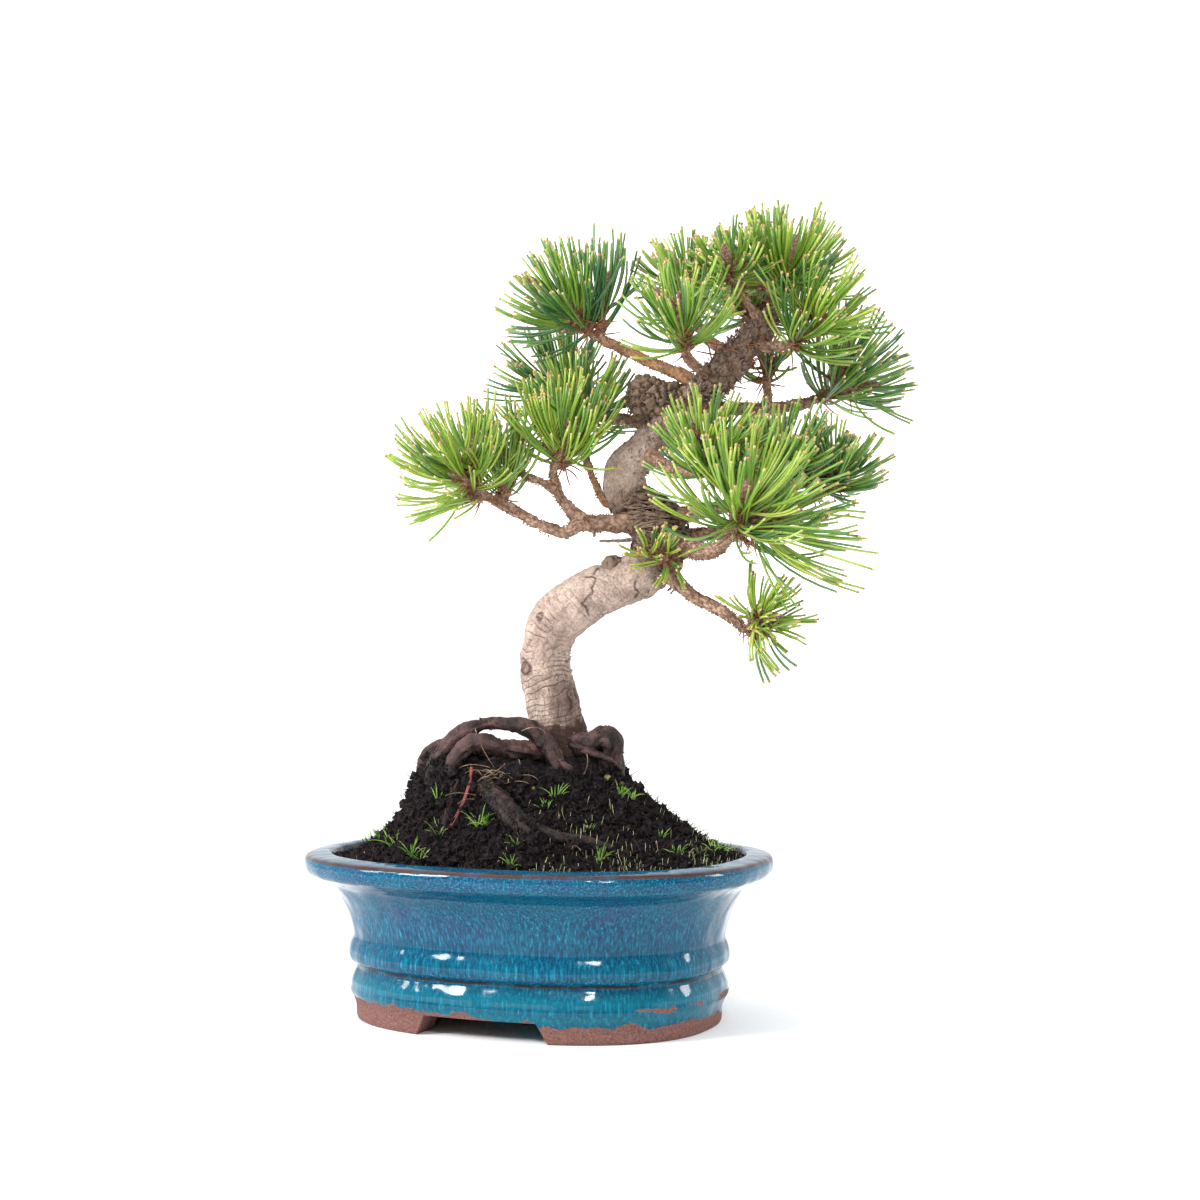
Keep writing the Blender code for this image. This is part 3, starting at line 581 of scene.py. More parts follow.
@dataclass(frozen=True)
class PineBark(Finish):
    """Pine bark that grew in thin plates: matt and dry, dark in its cracks and paler on worn plate faces.

    Hairline folds run round the limb and short checks break the skin between them.
    """

    age: BarkAge = BarkAge.TRUNK
    grain: float = 0.9
    blotch: float = 7.0
    folds: float = 0.0
    checks: float = 0.0
    tinge: str = "#7A7A7A"
    mottle: float = 0.55

    def material(self) -> bpy.types.Material:
        """Make the material; it reads the depth of cracks and painted shade, and the age, that the mesh carries."""
        material, tree, shader, place = self.start()
        pale, middle, crack, tint = self.age.value
        blotch = self.noise(tree, place, self.blotch, 4.0)
        colour = self.ramp(tree, blotch, ((0.34, middle), (0.62, pale)))
        fine = self.noise(tree, place, self.grain, 3.0, shift=0.6)
        shade = self.ramp(tree, fine, ((0.32, "#4C4040"), (0.52, "#D8D2D0"), (0.66, "#FFFFFF")))
        colour = self.mix(tree, self.mottle, colour, shade, "MULTIPLY")
        green = self.ramp(tree, self.noise(tree, place, 12.0, 3.0, shift=1.7), ((0.50, "#000000"), (0.72, self.tinge)))
        colour = self.mix(tree, green, colour, tint)
        aged = add_node(tree, "Attribute", {"attribute_name": "age"}).outputs["Fac"]
        old_pale, old_middle, old_crack, _ = BarkAge.ROUGH.value
        old = self.mix(tree, fine, old_middle, old_pale)
        colour = self.mix(tree, aged, colour, old)
        height = fine
        if self.folds:
            lines = self.fold_lines(tree, place)
            colour = self.mix(tree, lines, colour, crack)
            height = self.mix(tree, lines, height, "#000000")
        # The mesh's dark mark mixes in the crack colour: real cracks, and painted shade where the mark carries it.
        depth = add_node(tree, "Attribute", {"attribute_name": "crack"}).outputs["Fac"]
        colour = self.mix(tree, depth, colour, crack)
        tree.links.new(colour, shader.inputs["Base Color"])
        self.bump(tree, shader, height, self.relief)
        return material

    def fold_lines(self, tree: bpy.types.NodeTree, place: bpy.types.NodeSocket) -> bpy.types.NodeSocket:
        """Give the hairline folds, from the phase that the mesh carries, and the checks between them."""
        phase = add_node(tree, "Attribute", {"attribute_name": "fold"}).outputs["Fac"]
        waver = self.noise(tree, place, 1.6, 2.0, shift=2.4)
        sway = add_node(tree, "MapRange", {"To Min": -0.1, "To Max": 0.1}, {"Value": waver}).outputs[0]
        total = add_node(tree, "Math", {"operation": "ADD"}, {0: phase, 1: sway}).outputs[0]
        apart = add_node(tree, "Math", {"operation": "PINGPONG", 1: 0.5}, {0: total}).outputs[0]
        line = self.ramp(tree, apart, ((0.03, "#FFFFFF"), (0.10, "#000000")))
        height = add_node(tree, "SeparateXYZ", {}, {0: place}).outputs["Z"]
        settings = {"From Min": 0.146, "From Max": 0.116, "To Min": -0.06, "To Max": 0.1}
        low = add_node(tree, "MapRange", settings, {"Value": height}).outputs[0]
        where = self.noise(tree, place, 8.0, 3.0, (1.0, 1.0, 0.7), shift=4.1)
        where = add_node(tree, "Math", {"operation": "ADD"}, {0: where, 1: low}).outputs[0]
        where = self.ramp(tree, where, ((0.42, "#000000"), (0.54, "#FFFFFF")))
        line = self.mix(tree, 1.0, line, where, "MULTIPLY")
        line = self.mix(tree, self.folds, "#000000", line)
        settings = {"From Min": 0.172, "From Max": 0.154, "To Min": 0.12, "To Max": 0.8}
        lower = add_node(tree, "MapRange", settings, {"Value": height}).outputs[0]
        line = self.mix(tree, lower, "#000000", line)
        grooves = self.noise(tree, place, 5.0, 2.5, (1.0, 1.0, 4.5), shift=4.7)
        grooves = add_node(tree, "Math", {"operation": "MULTIPLY", 1: 11.0}, {0: grooves}).outputs[0]
        edge = add_node(tree, "Math", {"operation": "PINGPONG", 1: 0.5}, {0: grooves}).outputs[0]
        check = self.ramp(tree, edge, ((0.02, "#FFFFFF"), (0.08, "#000000")))
        where = self.noise(tree, place, 4.5, 3.0, shift=5.2)
        where = add_node(tree, "Math", {"operation": "ADD"}, {0: where, 1: low}).outputs[0]
        some = self.ramp(tree, where, ((0.50, "#000000"), (0.58, "#FFFFFF")))
        check = self.mix(tree, 1.0, check, some, "MULTIPLY")
        check = self.mix(tree, self.checks, "#000000", check)
        return self.mix(tree, 1.0, line, check, "LIGHTEN")


@dataclass(frozen=True)
class Cuticle(Finish):
    """A living leaf's waxy skin, as on a pine needle or moss leaf: satin, with a slight change of green along it."""

    deep: str = "#2F6A35"
    light: str = "#4C8A3C"
    patch: float = 24.0
    glow: float = 0.0

    def material(self) -> bpy.types.Material:
        """Make the material."""
        material, tree, shader, place = self.start()
        share = self.noise(tree, place, self.patch, 2.0)
        colour = self.ramp(tree, share, ((0.36, self.deep), (0.64, self.light)))
        tree.links.new(colour, shader.inputs["Base Color"])
        shader.inputs["Subsurface Weight"].default_value = self.glow
        shader.inputs["Subsurface Radius"].default_value = (0.4 * METRES, 0.9 * METRES, 0.2 * METRES)
        shader.inputs["Subsurface Scale"].default_value = 1.0
        if self.relief:
            ridges = self.noise(tree, place, 0.5, 1.0, shift=0.3)
            self.bump(tree, shader, ridges, self.relief)
        return material


@dataclass(frozen=True)
class Grained(Finish):
    """A matt natural surface of three tones, as peat, stone, bud scales or a dried leaf has."""

    dark: str = "#15110F"
    middle: str = "#2A211C"
    light: str = "#4A3B30"
    grain: float = 1.4

    def material(self) -> bpy.types.Material:
        """Make the material."""
        material, tree, shader, place = self.start()
        fine = self.noise(tree, place, self.grain, 4.0)
        colour = self.ramp(tree, fine, ((0.34, self.dark), (0.50, self.middle), (0.68, self.light)))
        tree.links.new(colour, shader.inputs["Base Color"])
        self.bump(tree, shader, fine, self.relief)
        return material


# Pot


@dataclass
class Oval:
    """The pot's outline: an oval a little fuller than an ellipse, turned about its upright axis."""

    length: float = 180.0
    width: float = 146.6
    power: float = 2.4
    turn: float = math.radians(-22.6)
    centre: tuple[float, float] = (-30.0, 0.0)

    def ring(self, inset: float, height: float, sides: int) -> np.ndarray:
        """Give one ring of the outline, drawn in by an inset, at a height."""
        angle = 2 * math.pi * np.arange(sides) / sides
        return self.points(angle, inset, np.full(sides, height))

    def points(self, angle: np.ndarray, inset: np.ndarray | float, height: np.ndarray) -> np.ndarray:
        """Give outline points at angles round the pot.

        Args:
            angle: Angles in the pot's own frame.
            inset: How far each point is drawn in from the rim.
            height: Height of each point.

        Returns:
            Places in the row frame, in millimetres.
        """
        bend = 2.0 / self.power
        x = np.sign(np.cos(angle)) * np.abs(np.cos(angle)) ** bend * (self.length / 2 - inset)
        y = np.sign(np.sin(angle)) * np.abs(np.sin(angle)) ** bend * (self.width / 2 - inset)
        return self.place(x, y, height)

    def place(self, x: np.ndarray, y: np.ndarray, height: np.ndarray) -> np.ndarray:
        """Turn places of the pot's own frame into the row frame."""
        cos, sin = math.cos(self.turn), math.sin(self.turn)
        return np.stack([x * cos - y * sin + self.centre[0], x * sin + y * cos + self.centre[1], height], axis=-1)


@dataclass
class GlazedPot:
    """An oval pot turned in one profile, with two wide feet cut free and two drain holes."""

    oval: Oval = field(default_factory=Oval)
    sides: int = 288
    level_step: float = 0.9
    underside: float = 8.4
    floor: float = 12.6
    foot_inset: float = 33.0
    notch_height: float = 7.8
    notch_top: float = 45.0
    notch_foot: float = 54.0
    drain_radius: float = 6.0
    drain_spacing: float = 56.0
    edge_round: float = 0.5
    wall: tuple = (
        (19.8, 0.3), (19.5, 1.2), (19.2, 5.6), (18.3, 8.4), (17.0, 11.0), (16.9, 12.4), (17.2, 13.6), (17.1, 14.8),
        (17.7, 16.8), (18.5, 18.8), (19.1, 20.3), (18.6, 21.6), (17.1, 22.9), (16.3, 24.6), (16.2, 26.2),
        (16.6, 28.4), (17.3, 30.4), (17.9, 32.2), (17.7, 34.0), (17.0, 37.0), (15.6, 42.0), (13.0, 47.2),
        (10.0, 51.4), (6.6, 53.8), (3.6, 55.2), (1.5, 56.3), (0.4, 58.0), (0.1, 60.0), (0.35, 61.8),
        (1.0, 62.9), (2.6, 63.5), (5.6, 63.9), (9.0, 64.1), (10.2, 63.6), (10.8, 62.4), (11.2, 60.6), (13.6, 55.0))

    def shape(self) -> bpy.types.Object:
        """Turn the profile into a closed wall, then cut the notch and the drain holes."""
        wall = smooth_path(tuple((inset, height, 0.0, 0.0) for inset, height in self.wall), self.level_step)
        levels = [(self.foot_inset, self.underside), (self.foot_inset, 0.0), (20.4, 0.0)]
        levels.extend((row[0], row[1]) for row in wall)
        levels.extend(((19.0, 49.0), (22.2, 42.0), (23.0, 30.0), (24.0, self.floor)))
        shell = Shell()
        points = np.concatenate([self.oval.ring(inset, height, self.sides) for inset, height in levels])
        side = np.arange(self.sides)
        after = (side + 1) % self.sides
        faces = []
        for ring in range(len(levels) - 1):
            here = ring * self.sides
            faces.append(np.stack([here + side, here + after, here + after + self.sides, here + side + self.sides], 1))
        low = self.oval.place(np.zeros(1), np.zeros(1), np.full(1, self.underside))
        high = self.oval.place(np.zeros(1), np.zeros(1), np.full(1, self.floor))
        last = (len(levels) - 1) * self.sides
        first_cap = np.stack([after, side, np.full(self.sides, len(points))], axis=1)
        last_cap = np.stack([last + side, last + after, np.full(self.sides, len(points) + 1)], axis=1)
        shell.add(np.concatenate([points, low, high]), np.concatenate(faces), np.concatenate([first_cap, last_cap]))
        finish = DrippedGlaze("poured_teal_glaze_on_stoneware", roughness=0.09, ior=1.5, relief=0.8,
                              gleam=0.25)
        pot = shell.piece("glazed_pot", finish.material(), "glaze", ("pot",))
        self.cut(pot, self.notch())
        for side_way in (-1, 1):
            self.cut(pot, self.drain(side_way * self.drain_spacing / 2))
        pot.data.set_sharp_from_angle(angle=math.radians(38))
        return pot

    def loft(self, name: str, rings: list) -> bpy.types.Object:
        """Make a closed solid through rings of places, for cutting."""
        sides = len(rings[0])
        points = [tuple(np.array(point) * METRES) for ring in rings for point in ring]
        faces = [tuple(reversed(range(sides)))]
        for start in range(0, (len(rings) - 1) * sides, sides):
            for side in range(sides):
                after = (side + 1) % sides
                faces.append((start + side, start + after, start + sides + after, start + sides + side))
        faces.append(tuple(range((len(rings) - 1) * sides, len(rings) * sides)))
        mesh = bpy.data.meshes.new(name)
        mesh.from_pydata(points, [], faces)
        thing = bpy.data.objects.new(name, mesh)
        bpy.context.scene.collection.objects.link(thing)
        return thing

    def notch(self) -> bpy.types.Object:
        """Make the bar, with sloping sides, that parts the feet."""
        half = self.oval.width * 0.6
        rings = []
        for y in (half, -half):
            xs = np.array([-self.notch_foot, self.notch_foot, self.notch_top, -self.notch_top]) / 2
            zs = np.array([-1.0, -1.0, self.notch_height, self.notch_height])
            rings.append(self.oval.place(xs, np.full(4, y), zs))
        return self.loft("notch_cutter", rings)

    def drain(self, x: float) -> bpy.types.Object:
        """Make the round bar that opens a drain hole at a place along the pot."""
        angle = 2 * math.pi * np.arange(32) / 32
        xs = x + np.cos(angle) * self.drain_radius
        ys = np.sin(angle) * self.drain_radius
        heights = (self.underside - 2, self.floor + 2)
        return self.loft("drain_cutter", [self.oval.place(xs, ys, np.full(32, height)) for height in heights])

    def cut(self, target: bpy.types.Object, cutter: bpy.types.Object) -> None:
        """Take a cutter's volume out of the target and remove the cutter."""
        modifier = target.modifiers.new("cut", "BOOLEAN")
        modifier.operation = "DIFFERENCE"
        modifier.solver = "EXACT"
        modifier.object = cutter
        view = bpy.context.evaluated_depsgraph_get()
        mesh = bpy.data.meshes.new_from_object(target.evaluated_get(view))
        target.modifiers.clear()
        target.data = mesh
        bpy.data.objects.remove(cutter, do_unlink=True)


# Soil


@dataclass
class SoilHeap:
    """Dark peaty soil, heaped under the roots, with crumbs, moss and what has fallen on it."""

    oval: Oval = field(default_factory=Oval)
    edge: float = 60.6
    top: float = 93.0
    crown: float = 6.0
    crown_share: float = 0.24
    centre: tuple[float, float] = (-36.0, 0.0)
    top_radii: tuple[float, float] = (38.0, 27.0)
    edge_inset: float = 11.9
    rings: int = 90
    sides: int = 360
    crumbs: int = 15000
    shreds: int = 9500
    seed: int = 5
    banks: tuple = ((-9.0, -3.0, 7.0, 6.0), (-18.0, -8.0, 8.0, 4.0), (-42.0, -8.0, 10.0, 3.0), (-57.0, -12.0, 7.0, 3.0),
                    (-64.0, -19.0, 5.0, 5.0), (-30.5, -48.0, 6.0, 6.0), (-6.0, -2.0, 5.0, 4.0),
                    (-36.0, -43.0, 5.0, 3.0), (-29.0, -46.0, 7.0, 5.0), (-15.0, -49.0, 8.0, 3.0),
                    (-69.0, -12.0, 8.0, 6.5), (-75.0, 3.0, 6.0, 6.0))

    def surface(self, angle: np.ndarray, share: np.ndarray) -> np.ndarray:
        """Give points of the heap.

        Args:
            angle: Angles in the pot's own frame.
            share: 0 at the pot's wall and 1 at the flat top's edge; above 1 crosses the top.

        Returns:
            Places in the row frame, in millimetres.
        """
        outer = self.oval.points(angle, self.edge_inset, np.zeros(len(angle)))
        world = angle + self.oval.turn
        inner = np.stack([self.centre[0] + np.cos(world) * self.top_radii[0],
                          self.centre[1] + np.sin(world) * self.top_radii[1], np.zeros(len(angle))], axis=1)
        middle = np.array([self.centre[0], self.centre[1], 0.0])
        low = np.clip(share, 0, 1)[:, None]
        high = np.clip(share - 1, 0, 1)[:, None]
        place = outer * (1 - low) + inner * low
        place = place * (1 - high) + middle * high
        climb = low[:, 0] ** (1.7 - 0.4 * np.cos(world))
        place[:, 2] = self.edge + (self.top - self.edge) * climb
        place[:, 2] += self.crown * np.clip(high[:, 0] / self.crown_share, 0, 1)
        for x, y, reach, rise in self.banks:
            place[:, 2] += rise * np.exp(-(((place[:, 0] - x) ** 2 + (place[:, 1] - y) ** 2) / reach ** 2))
        lump = rough(place, 9.0, 3, 11) * 1.5 + rough(place, 3.0, 3, 12) * 1.5
        place[:, 2] += lump * np.clip(share * 12, 0, 1) * (1 - 0.4 * high[:, 0]) - 0.6
        return place

    def ground(self, finish: bpy.types.Material) -> bpy.types.Object:
        """Make the heap's closed body: its rough top and a plain lining down inside the pot."""
        share = np.repeat(np.linspace(0, 1.96, self.rings), self.sides)
        angle = np.tile(2 * math.pi * np.arange(self.sides) / self.sides, self.rings)
        top = self.surface(angle, share)
        lining = [self.oval.ring(inset, height, self.sides) for inset, height in (
            (24.4, 12.9), (23.4, 30.0), (22.6, 42.0), (19.4, 49.0), (14.0, 55.0), (12.4, 59.6))]
        points = np.concatenate([*lining, top])
        side = np.arange(self.sides)
        after = (side + 1) % self.sides
        rings = len(lining) + self.rings
        faces = [np.stack([ring * self.sides + side, ring * self.sides + after,
                           (ring + 1) * self.sides + after, (ring + 1) * self.sides + side], 1)
                 for ring in range(rings - 1)]
        last = (rings - 1) * self.sides
        low = self.oval.place(np.zeros(1), np.zeros(1), np.full(1, 12.9))
        high = np.array([[self.centre[0], self.centre[1], top[-self.sides:, 2].mean()]])
        caps = np.concatenate([np.stack([after, side, np.full(self.sides, len(points))], 1),
                               np.stack([last + side, last + after, np.full(self.sides, len(points) + 1)], 1)])
        shell = Shell()
        shell.add(np.concatenate([points, low, high]), np.concatenate(faces), caps)
        return shell.piece("soil_heap", finish, "soil", ("soil",))

    def scatter(self, count: int, generator: np.random.Generator, low: float = 0.0,
                high: float = 1.5) -> tuple[np.ndarray, np.ndarray]:
        """Strew points evenly over the heap.

        Args:
            count: How many.
            generator: The source of chance.
            low: Nearest share to the wall.
            high: Furthest share towards the middle.

        Returns:
            The places and the outward direction of the ground at each.
        """
        share = low + (high - low) * (1 - np.sqrt(1 - generator.random(count) * 0.92))
        angle = generator.random(count) * 2 * math.pi
        place = self.surface(angle, share)
        ahead = self.surface(angle + 0.02, share) - place
        inward = self.surface(angle, share + 0.01) - place
        return place, unit(np.cross(ahead, inward) + np.array([0, 0, 1e-6]))

    def grains(self, finish: bpy.types.Material) -> bpy.types.Object:
        """Strew angular crumbs over the heap, each half sunk."""
        generator = np.random.default_rng(self.seed)
        place, out = self.scatter(self.crumbs, generator)
        size = 0.35 + 2.0 * generator.random(self.crumbs) ** 2.8
        corners = np.array([(1, 0, 0), (-1, 0, 0), (0, 1, 0), (0, -1, 0), (0, 0, 1), (0, 0, -1)], float)
        faces = np.array([(0, 2, 4), (2, 1, 4), (1, 3, 4), (3, 0, 4), (2, 0, 5), (1, 2, 5), (3, 1, 5), (0, 3, 5)])
        shape = corners[None] * (0.6 + 0.8 * generator.random((self.crumbs, 6, 1)))
        turned = self.turn(shape, generator)
        points = place[:, None] + out[:, None] * size[:, None, None] * 0.35 + turned * size[:, None, None]
        shell = Shell()
        order = np.arange(self.crumbs)[:, None, None] * 6
        shell.add(points.reshape(-1, 3), None, (faces[None] + order).reshape(-1, 3))
        return shell.piece("soil_crumbs", finish, "soil", smooth=False)

    def turn(self, shape: np.ndarray, generator: np.random.Generator) -> np.ndarray:
        """Turn each small shape its own way."""
        first = unit(generator.normal(size=(len(shape), 3)))
        second = unit(np.cross(first, generator.normal(size=(len(shape), 3))))
        third = np.cross(first, second)
        return np.einsum("nki,nij->nkj", shape, np.stack([first, second, third], axis=1))

    def fibres(self, finish: bpy.types.Material) -> bpy.types.Object:
        """Strew short peat fibres that stand off the ground."""
        generator = np.random.default_rng(self.seed + 1)
        place, out = self.scatter(self.shreds, generator)
        way = unit(out * 0.6 + generator.normal(size=place.shape) * 0.6)
        length = (1.0 + 5.2 * generator.random(self.shreds) ** 2.4)[:, None]
        shell = Shell()
        bend = place + way * length * 0.5 + generator.normal(size=place.shape) * 0.5
        blades(shell, place - out * 0.5, bend, place + way * length, (0.2, 0.17, 0.08), steps=3)
        return shell.piece("peat_fibres", finish, "soil")

    def moss_sprouts(self, finish: bpy.types.Material) -> bpy.types.Object:
        """Stand the moss's pale stalks in drifts, thickest low on the front and right."""
        generator = np.random.default_rng(self.seed + 2)
        place, out = self.scatter(5200, generator, 0.0, 1.15)
        drift = rough(place * np.array([1, 1, 0.4]), 17.0, 2, 31)
        side = ease(-50.0, 0.0, place[:, 0]) * ease(20.0, -20.0, place[:, 1])
        liking = (0.03 + 0.46 * side) * (0.6 + 0.9 * drift) * ease(96.0, 90.0, place[:, 2])
        chosen = generator.random(len(place)) < liking
        place, out = place[chosen], out[chosen]
        way = unit(np.array([0, 0, 1.0]) + out * 0.35 + generator.normal(size=place.shape) * 0.16)
        length = (1.6 + 3.4 * generator.random(len(place)) ** 1.5)[:, None]
        shell = Shell()
        bend = place + way * length * 0.5 + generator.normal(size=place.shape) * 0.3
        blades(shell, place - out * 0.4, bend, place + way * length, (0.10, 0.075, 0.10, 0.05), steps=3)
        log.info("moss stalks: %d", len(place))
        return shell.piece("moss_stalks", finish, "needle_bright")

    def moss_stars(self, finish: bpy.types.Material, spots: tuple) -> bpy.types.Object:
        """Set starry moss plants, each a rosette of pointed leaves."""
        generator = np.random.default_rng(self.seed + 3)
        roots, bends, tips = [], [], []
        for x, y, size in spots:
            height = self.height_at(x, y)
            base = np.array([x, y, height])
            for leaf in range(int(8 + 4 * size)):
                spin = leaf * GOLDEN_ANGLE + generator.uniform(-0.4, 0.4)
                tilt = math.radians(generator.uniform(10, 74))
                way = np.array([math.cos(spin) * math.sin(tilt), math.sin(spin) * math.sin(tilt), math.cos(tilt)])
                length = size * generator.uniform(4.0, 8.4)
                start = base + generator.normal(size=3) * np.array([0.5, 0.5, 0.2]) * size
                roots.append(start)
                bends.append(start + way * length * 0.55 + np.array([0, 0, 1.2 * size]))
                tips.append(start + way * length - np.array([0, 0, 0.6 * size]))
        shell = Shell()
        blades(shell, np.array(roots), np.array(bends), np.array(tips), (0.13, 0.22, 0.16, 0.04), steps=5)
        return shell.piece("star_moss", finish, "needle_bright")

    def height_at(self, x: float, y: float) -> float:
        """Give the height of the ground over a place."""
        if not hasattr(self, "sampled"):
            angle = np.tile(2 * math.pi * np.arange(240) / 240, 80)
            self.sampled = self.surface(angle, np.repeat(np.linspace(0, 1.95, 80), 240))
        gap = np.hypot(self.sampled[:, 0] - x, self.sampled[:, 1] - y)
        return float(self.sampled[np.argmin(gap), 2])


# Wood


@dataclass(frozen=True)
class Limb:
    """A tapering limb: its path as x, y, z and radius, and the bark on it."""

    name: str
    path: tuple
    age: BarkAge = BarkAge.TWIG


TRUNK = Limb("trunk", (
    (-22.5, 0, 99.3, 12.8), (-22.6, 0, 104.5, 11.4), (-22.9, 0, 111, 10.4), (-24.8, 0, 122, 9.9),
    (-27.0, 0, 134, 9.8), (-26.6, 0, 143, 9.5), (-23.0, -1, 152.5, 9.8), (-12.0, -2, 161.5, 9.3),
    (-1.0, -2, 166, 9.0), (13.0, 0, 174, 9.8), (17.5, 4, 187.5, 10.4), (6.0, 8, 199, 8.4),
    (3.5, 9, 211, 7.5), (14.0, 8, 222, 7.1), (28.0, 4, 236, 7.2), (38.5, 2, 246, 7.2),
    (51.5, 2, 260.5, 6.6), (58.0, 2, 267.5, 4.8), (61.5, 2, 272.5, 3.2),
), BarkAge.TRUNK)

ROOTS = (
    Limb("root_arch", (
        (-20.5, -17.5, 94.0, 3.2), (-22.8, -16.5, 99.5, 3.3), (-27.0, -14.8, 107.0, 3.4), (-33.0, -13.2, 111.8, 2.9),
        (-43.5, -12, 113.8, 2.6), (-54.6, -12, 112.1, 2.7), (-64.4, -12, 105.0, 3.0), (-69, -12, 97.5, 3.0),
        (-70, -12, 90, 3.0),
    ), BarkAge.ROOT),
    Limb("root_low_left", (
        (-21, -3, 104.5, 3.6), (-28, -9, 102.8, 3.6), (-34, -13.5, 103.0, 3.5), (-43.4, -17, 104.8, 3.3),
        (-53.2, -17.6, 106.4, 3.5), (-59.0, -18, 102.6, 3.2), (-62.0, -18, 97.5, 3.0), (-63, -18, 90, 2.9),
    ), BarkAge.ROOT),
    Limb("root_outer_left", (
        (-24, 4, 103.5, 3.6), (-34, 7, 101.8, 3.3), (-48, 8, 101.6, 3.1), (-60, 6.5, 102.8, 3.0),
        (-68, 5, 103.4, 3.0), (-72.8, 4.5, 99.5, 3.0), (-74.5, 4, 94.5, 3.0), (-75, 4, 89, 3.0),
    ), BarkAge.ROOT),
    Limb("root_right", (
        (-20, 0, 104, 4.2), (-15, -6.5, 105.6, 4.0), (-9.5, -8, 106.2, 4.0), (-4.8, -8.5, 108.4, 4.5),
        (-2.2, -8.5, 106.0, 4.5), (-1.2, -7.5, 100.5, 3.9), (-1.0, -6.5, 90.5, 3.8),
    ), BarkAge.ROOT),
    Limb("root_front", (
        (-49.5, -27, 91.5, 3.0), (-44.5, -34.5, 87, 3.7), (-38, -41.5, 80.6, 3.8), (-32, -45.5, 75.4, 2.8), (-27, -48, 70, 1.8),
    ), BarkAge.ROOT),
)

SMALL_ROOTS = (
    ((-16, -9, 103, 1.8), (-9, -14.5, 102.5, 1.2), (-2, -15, 99.5, 0.9), (2, -12, 96, 0.7)),
    ((-24, -11, 105, 2.6), (-22, -17, 100, 2.2), (-18, -19.5, 96.0, 1.7), (-15, -21, 91, 1.1)),
    ((-30, -6, 104.5, 1.6), (-37, -13, 101.6, 1.5), (-46, -16, 99.4, 1.4), (-55, -15, 95.0, 1.2)),
    ((-19, -8, 106.0, 2.0), (-13, -12, 104.0, 1.7), (-7, -12, 101.5, 1.5), (-4, -11, 96.0, 1.3)),
    ((-15, -3, 103.5, 2.6), (-9, -4.5, 102.0, 2.6), (-4, -5, 100.0, 2.4), (-1, -4, 95.5, 1.6)),
    ((-28, 9, 101, 3.0), (-32, 16, 98, 2.6), (-40, 22, 93.5, 2.4), (-48, 27, 87, 2.0)),
    ((-16, 9, 101, 3.2), (-9, 15, 98, 2.8), (-3, 21, 92.5, 2.4), (2, 26, 86, 1.8)),
)

GROUND_ROOTS = (
    ((-42, -36, -1.5, 2.0), (-34, -44, 0.4, 2.0), (-24, -48, 0.0, 1.9), (-12, -48, -0.4, 1.7),
     (0, -46, -0.8, 1.5), (10, -44, -2.0, 1.2)),
    ((-60, -22, 0.5, 1.4), (-66, -30, 0.2, 1.2), (-74, -37, -1.0, 0.8)),
)

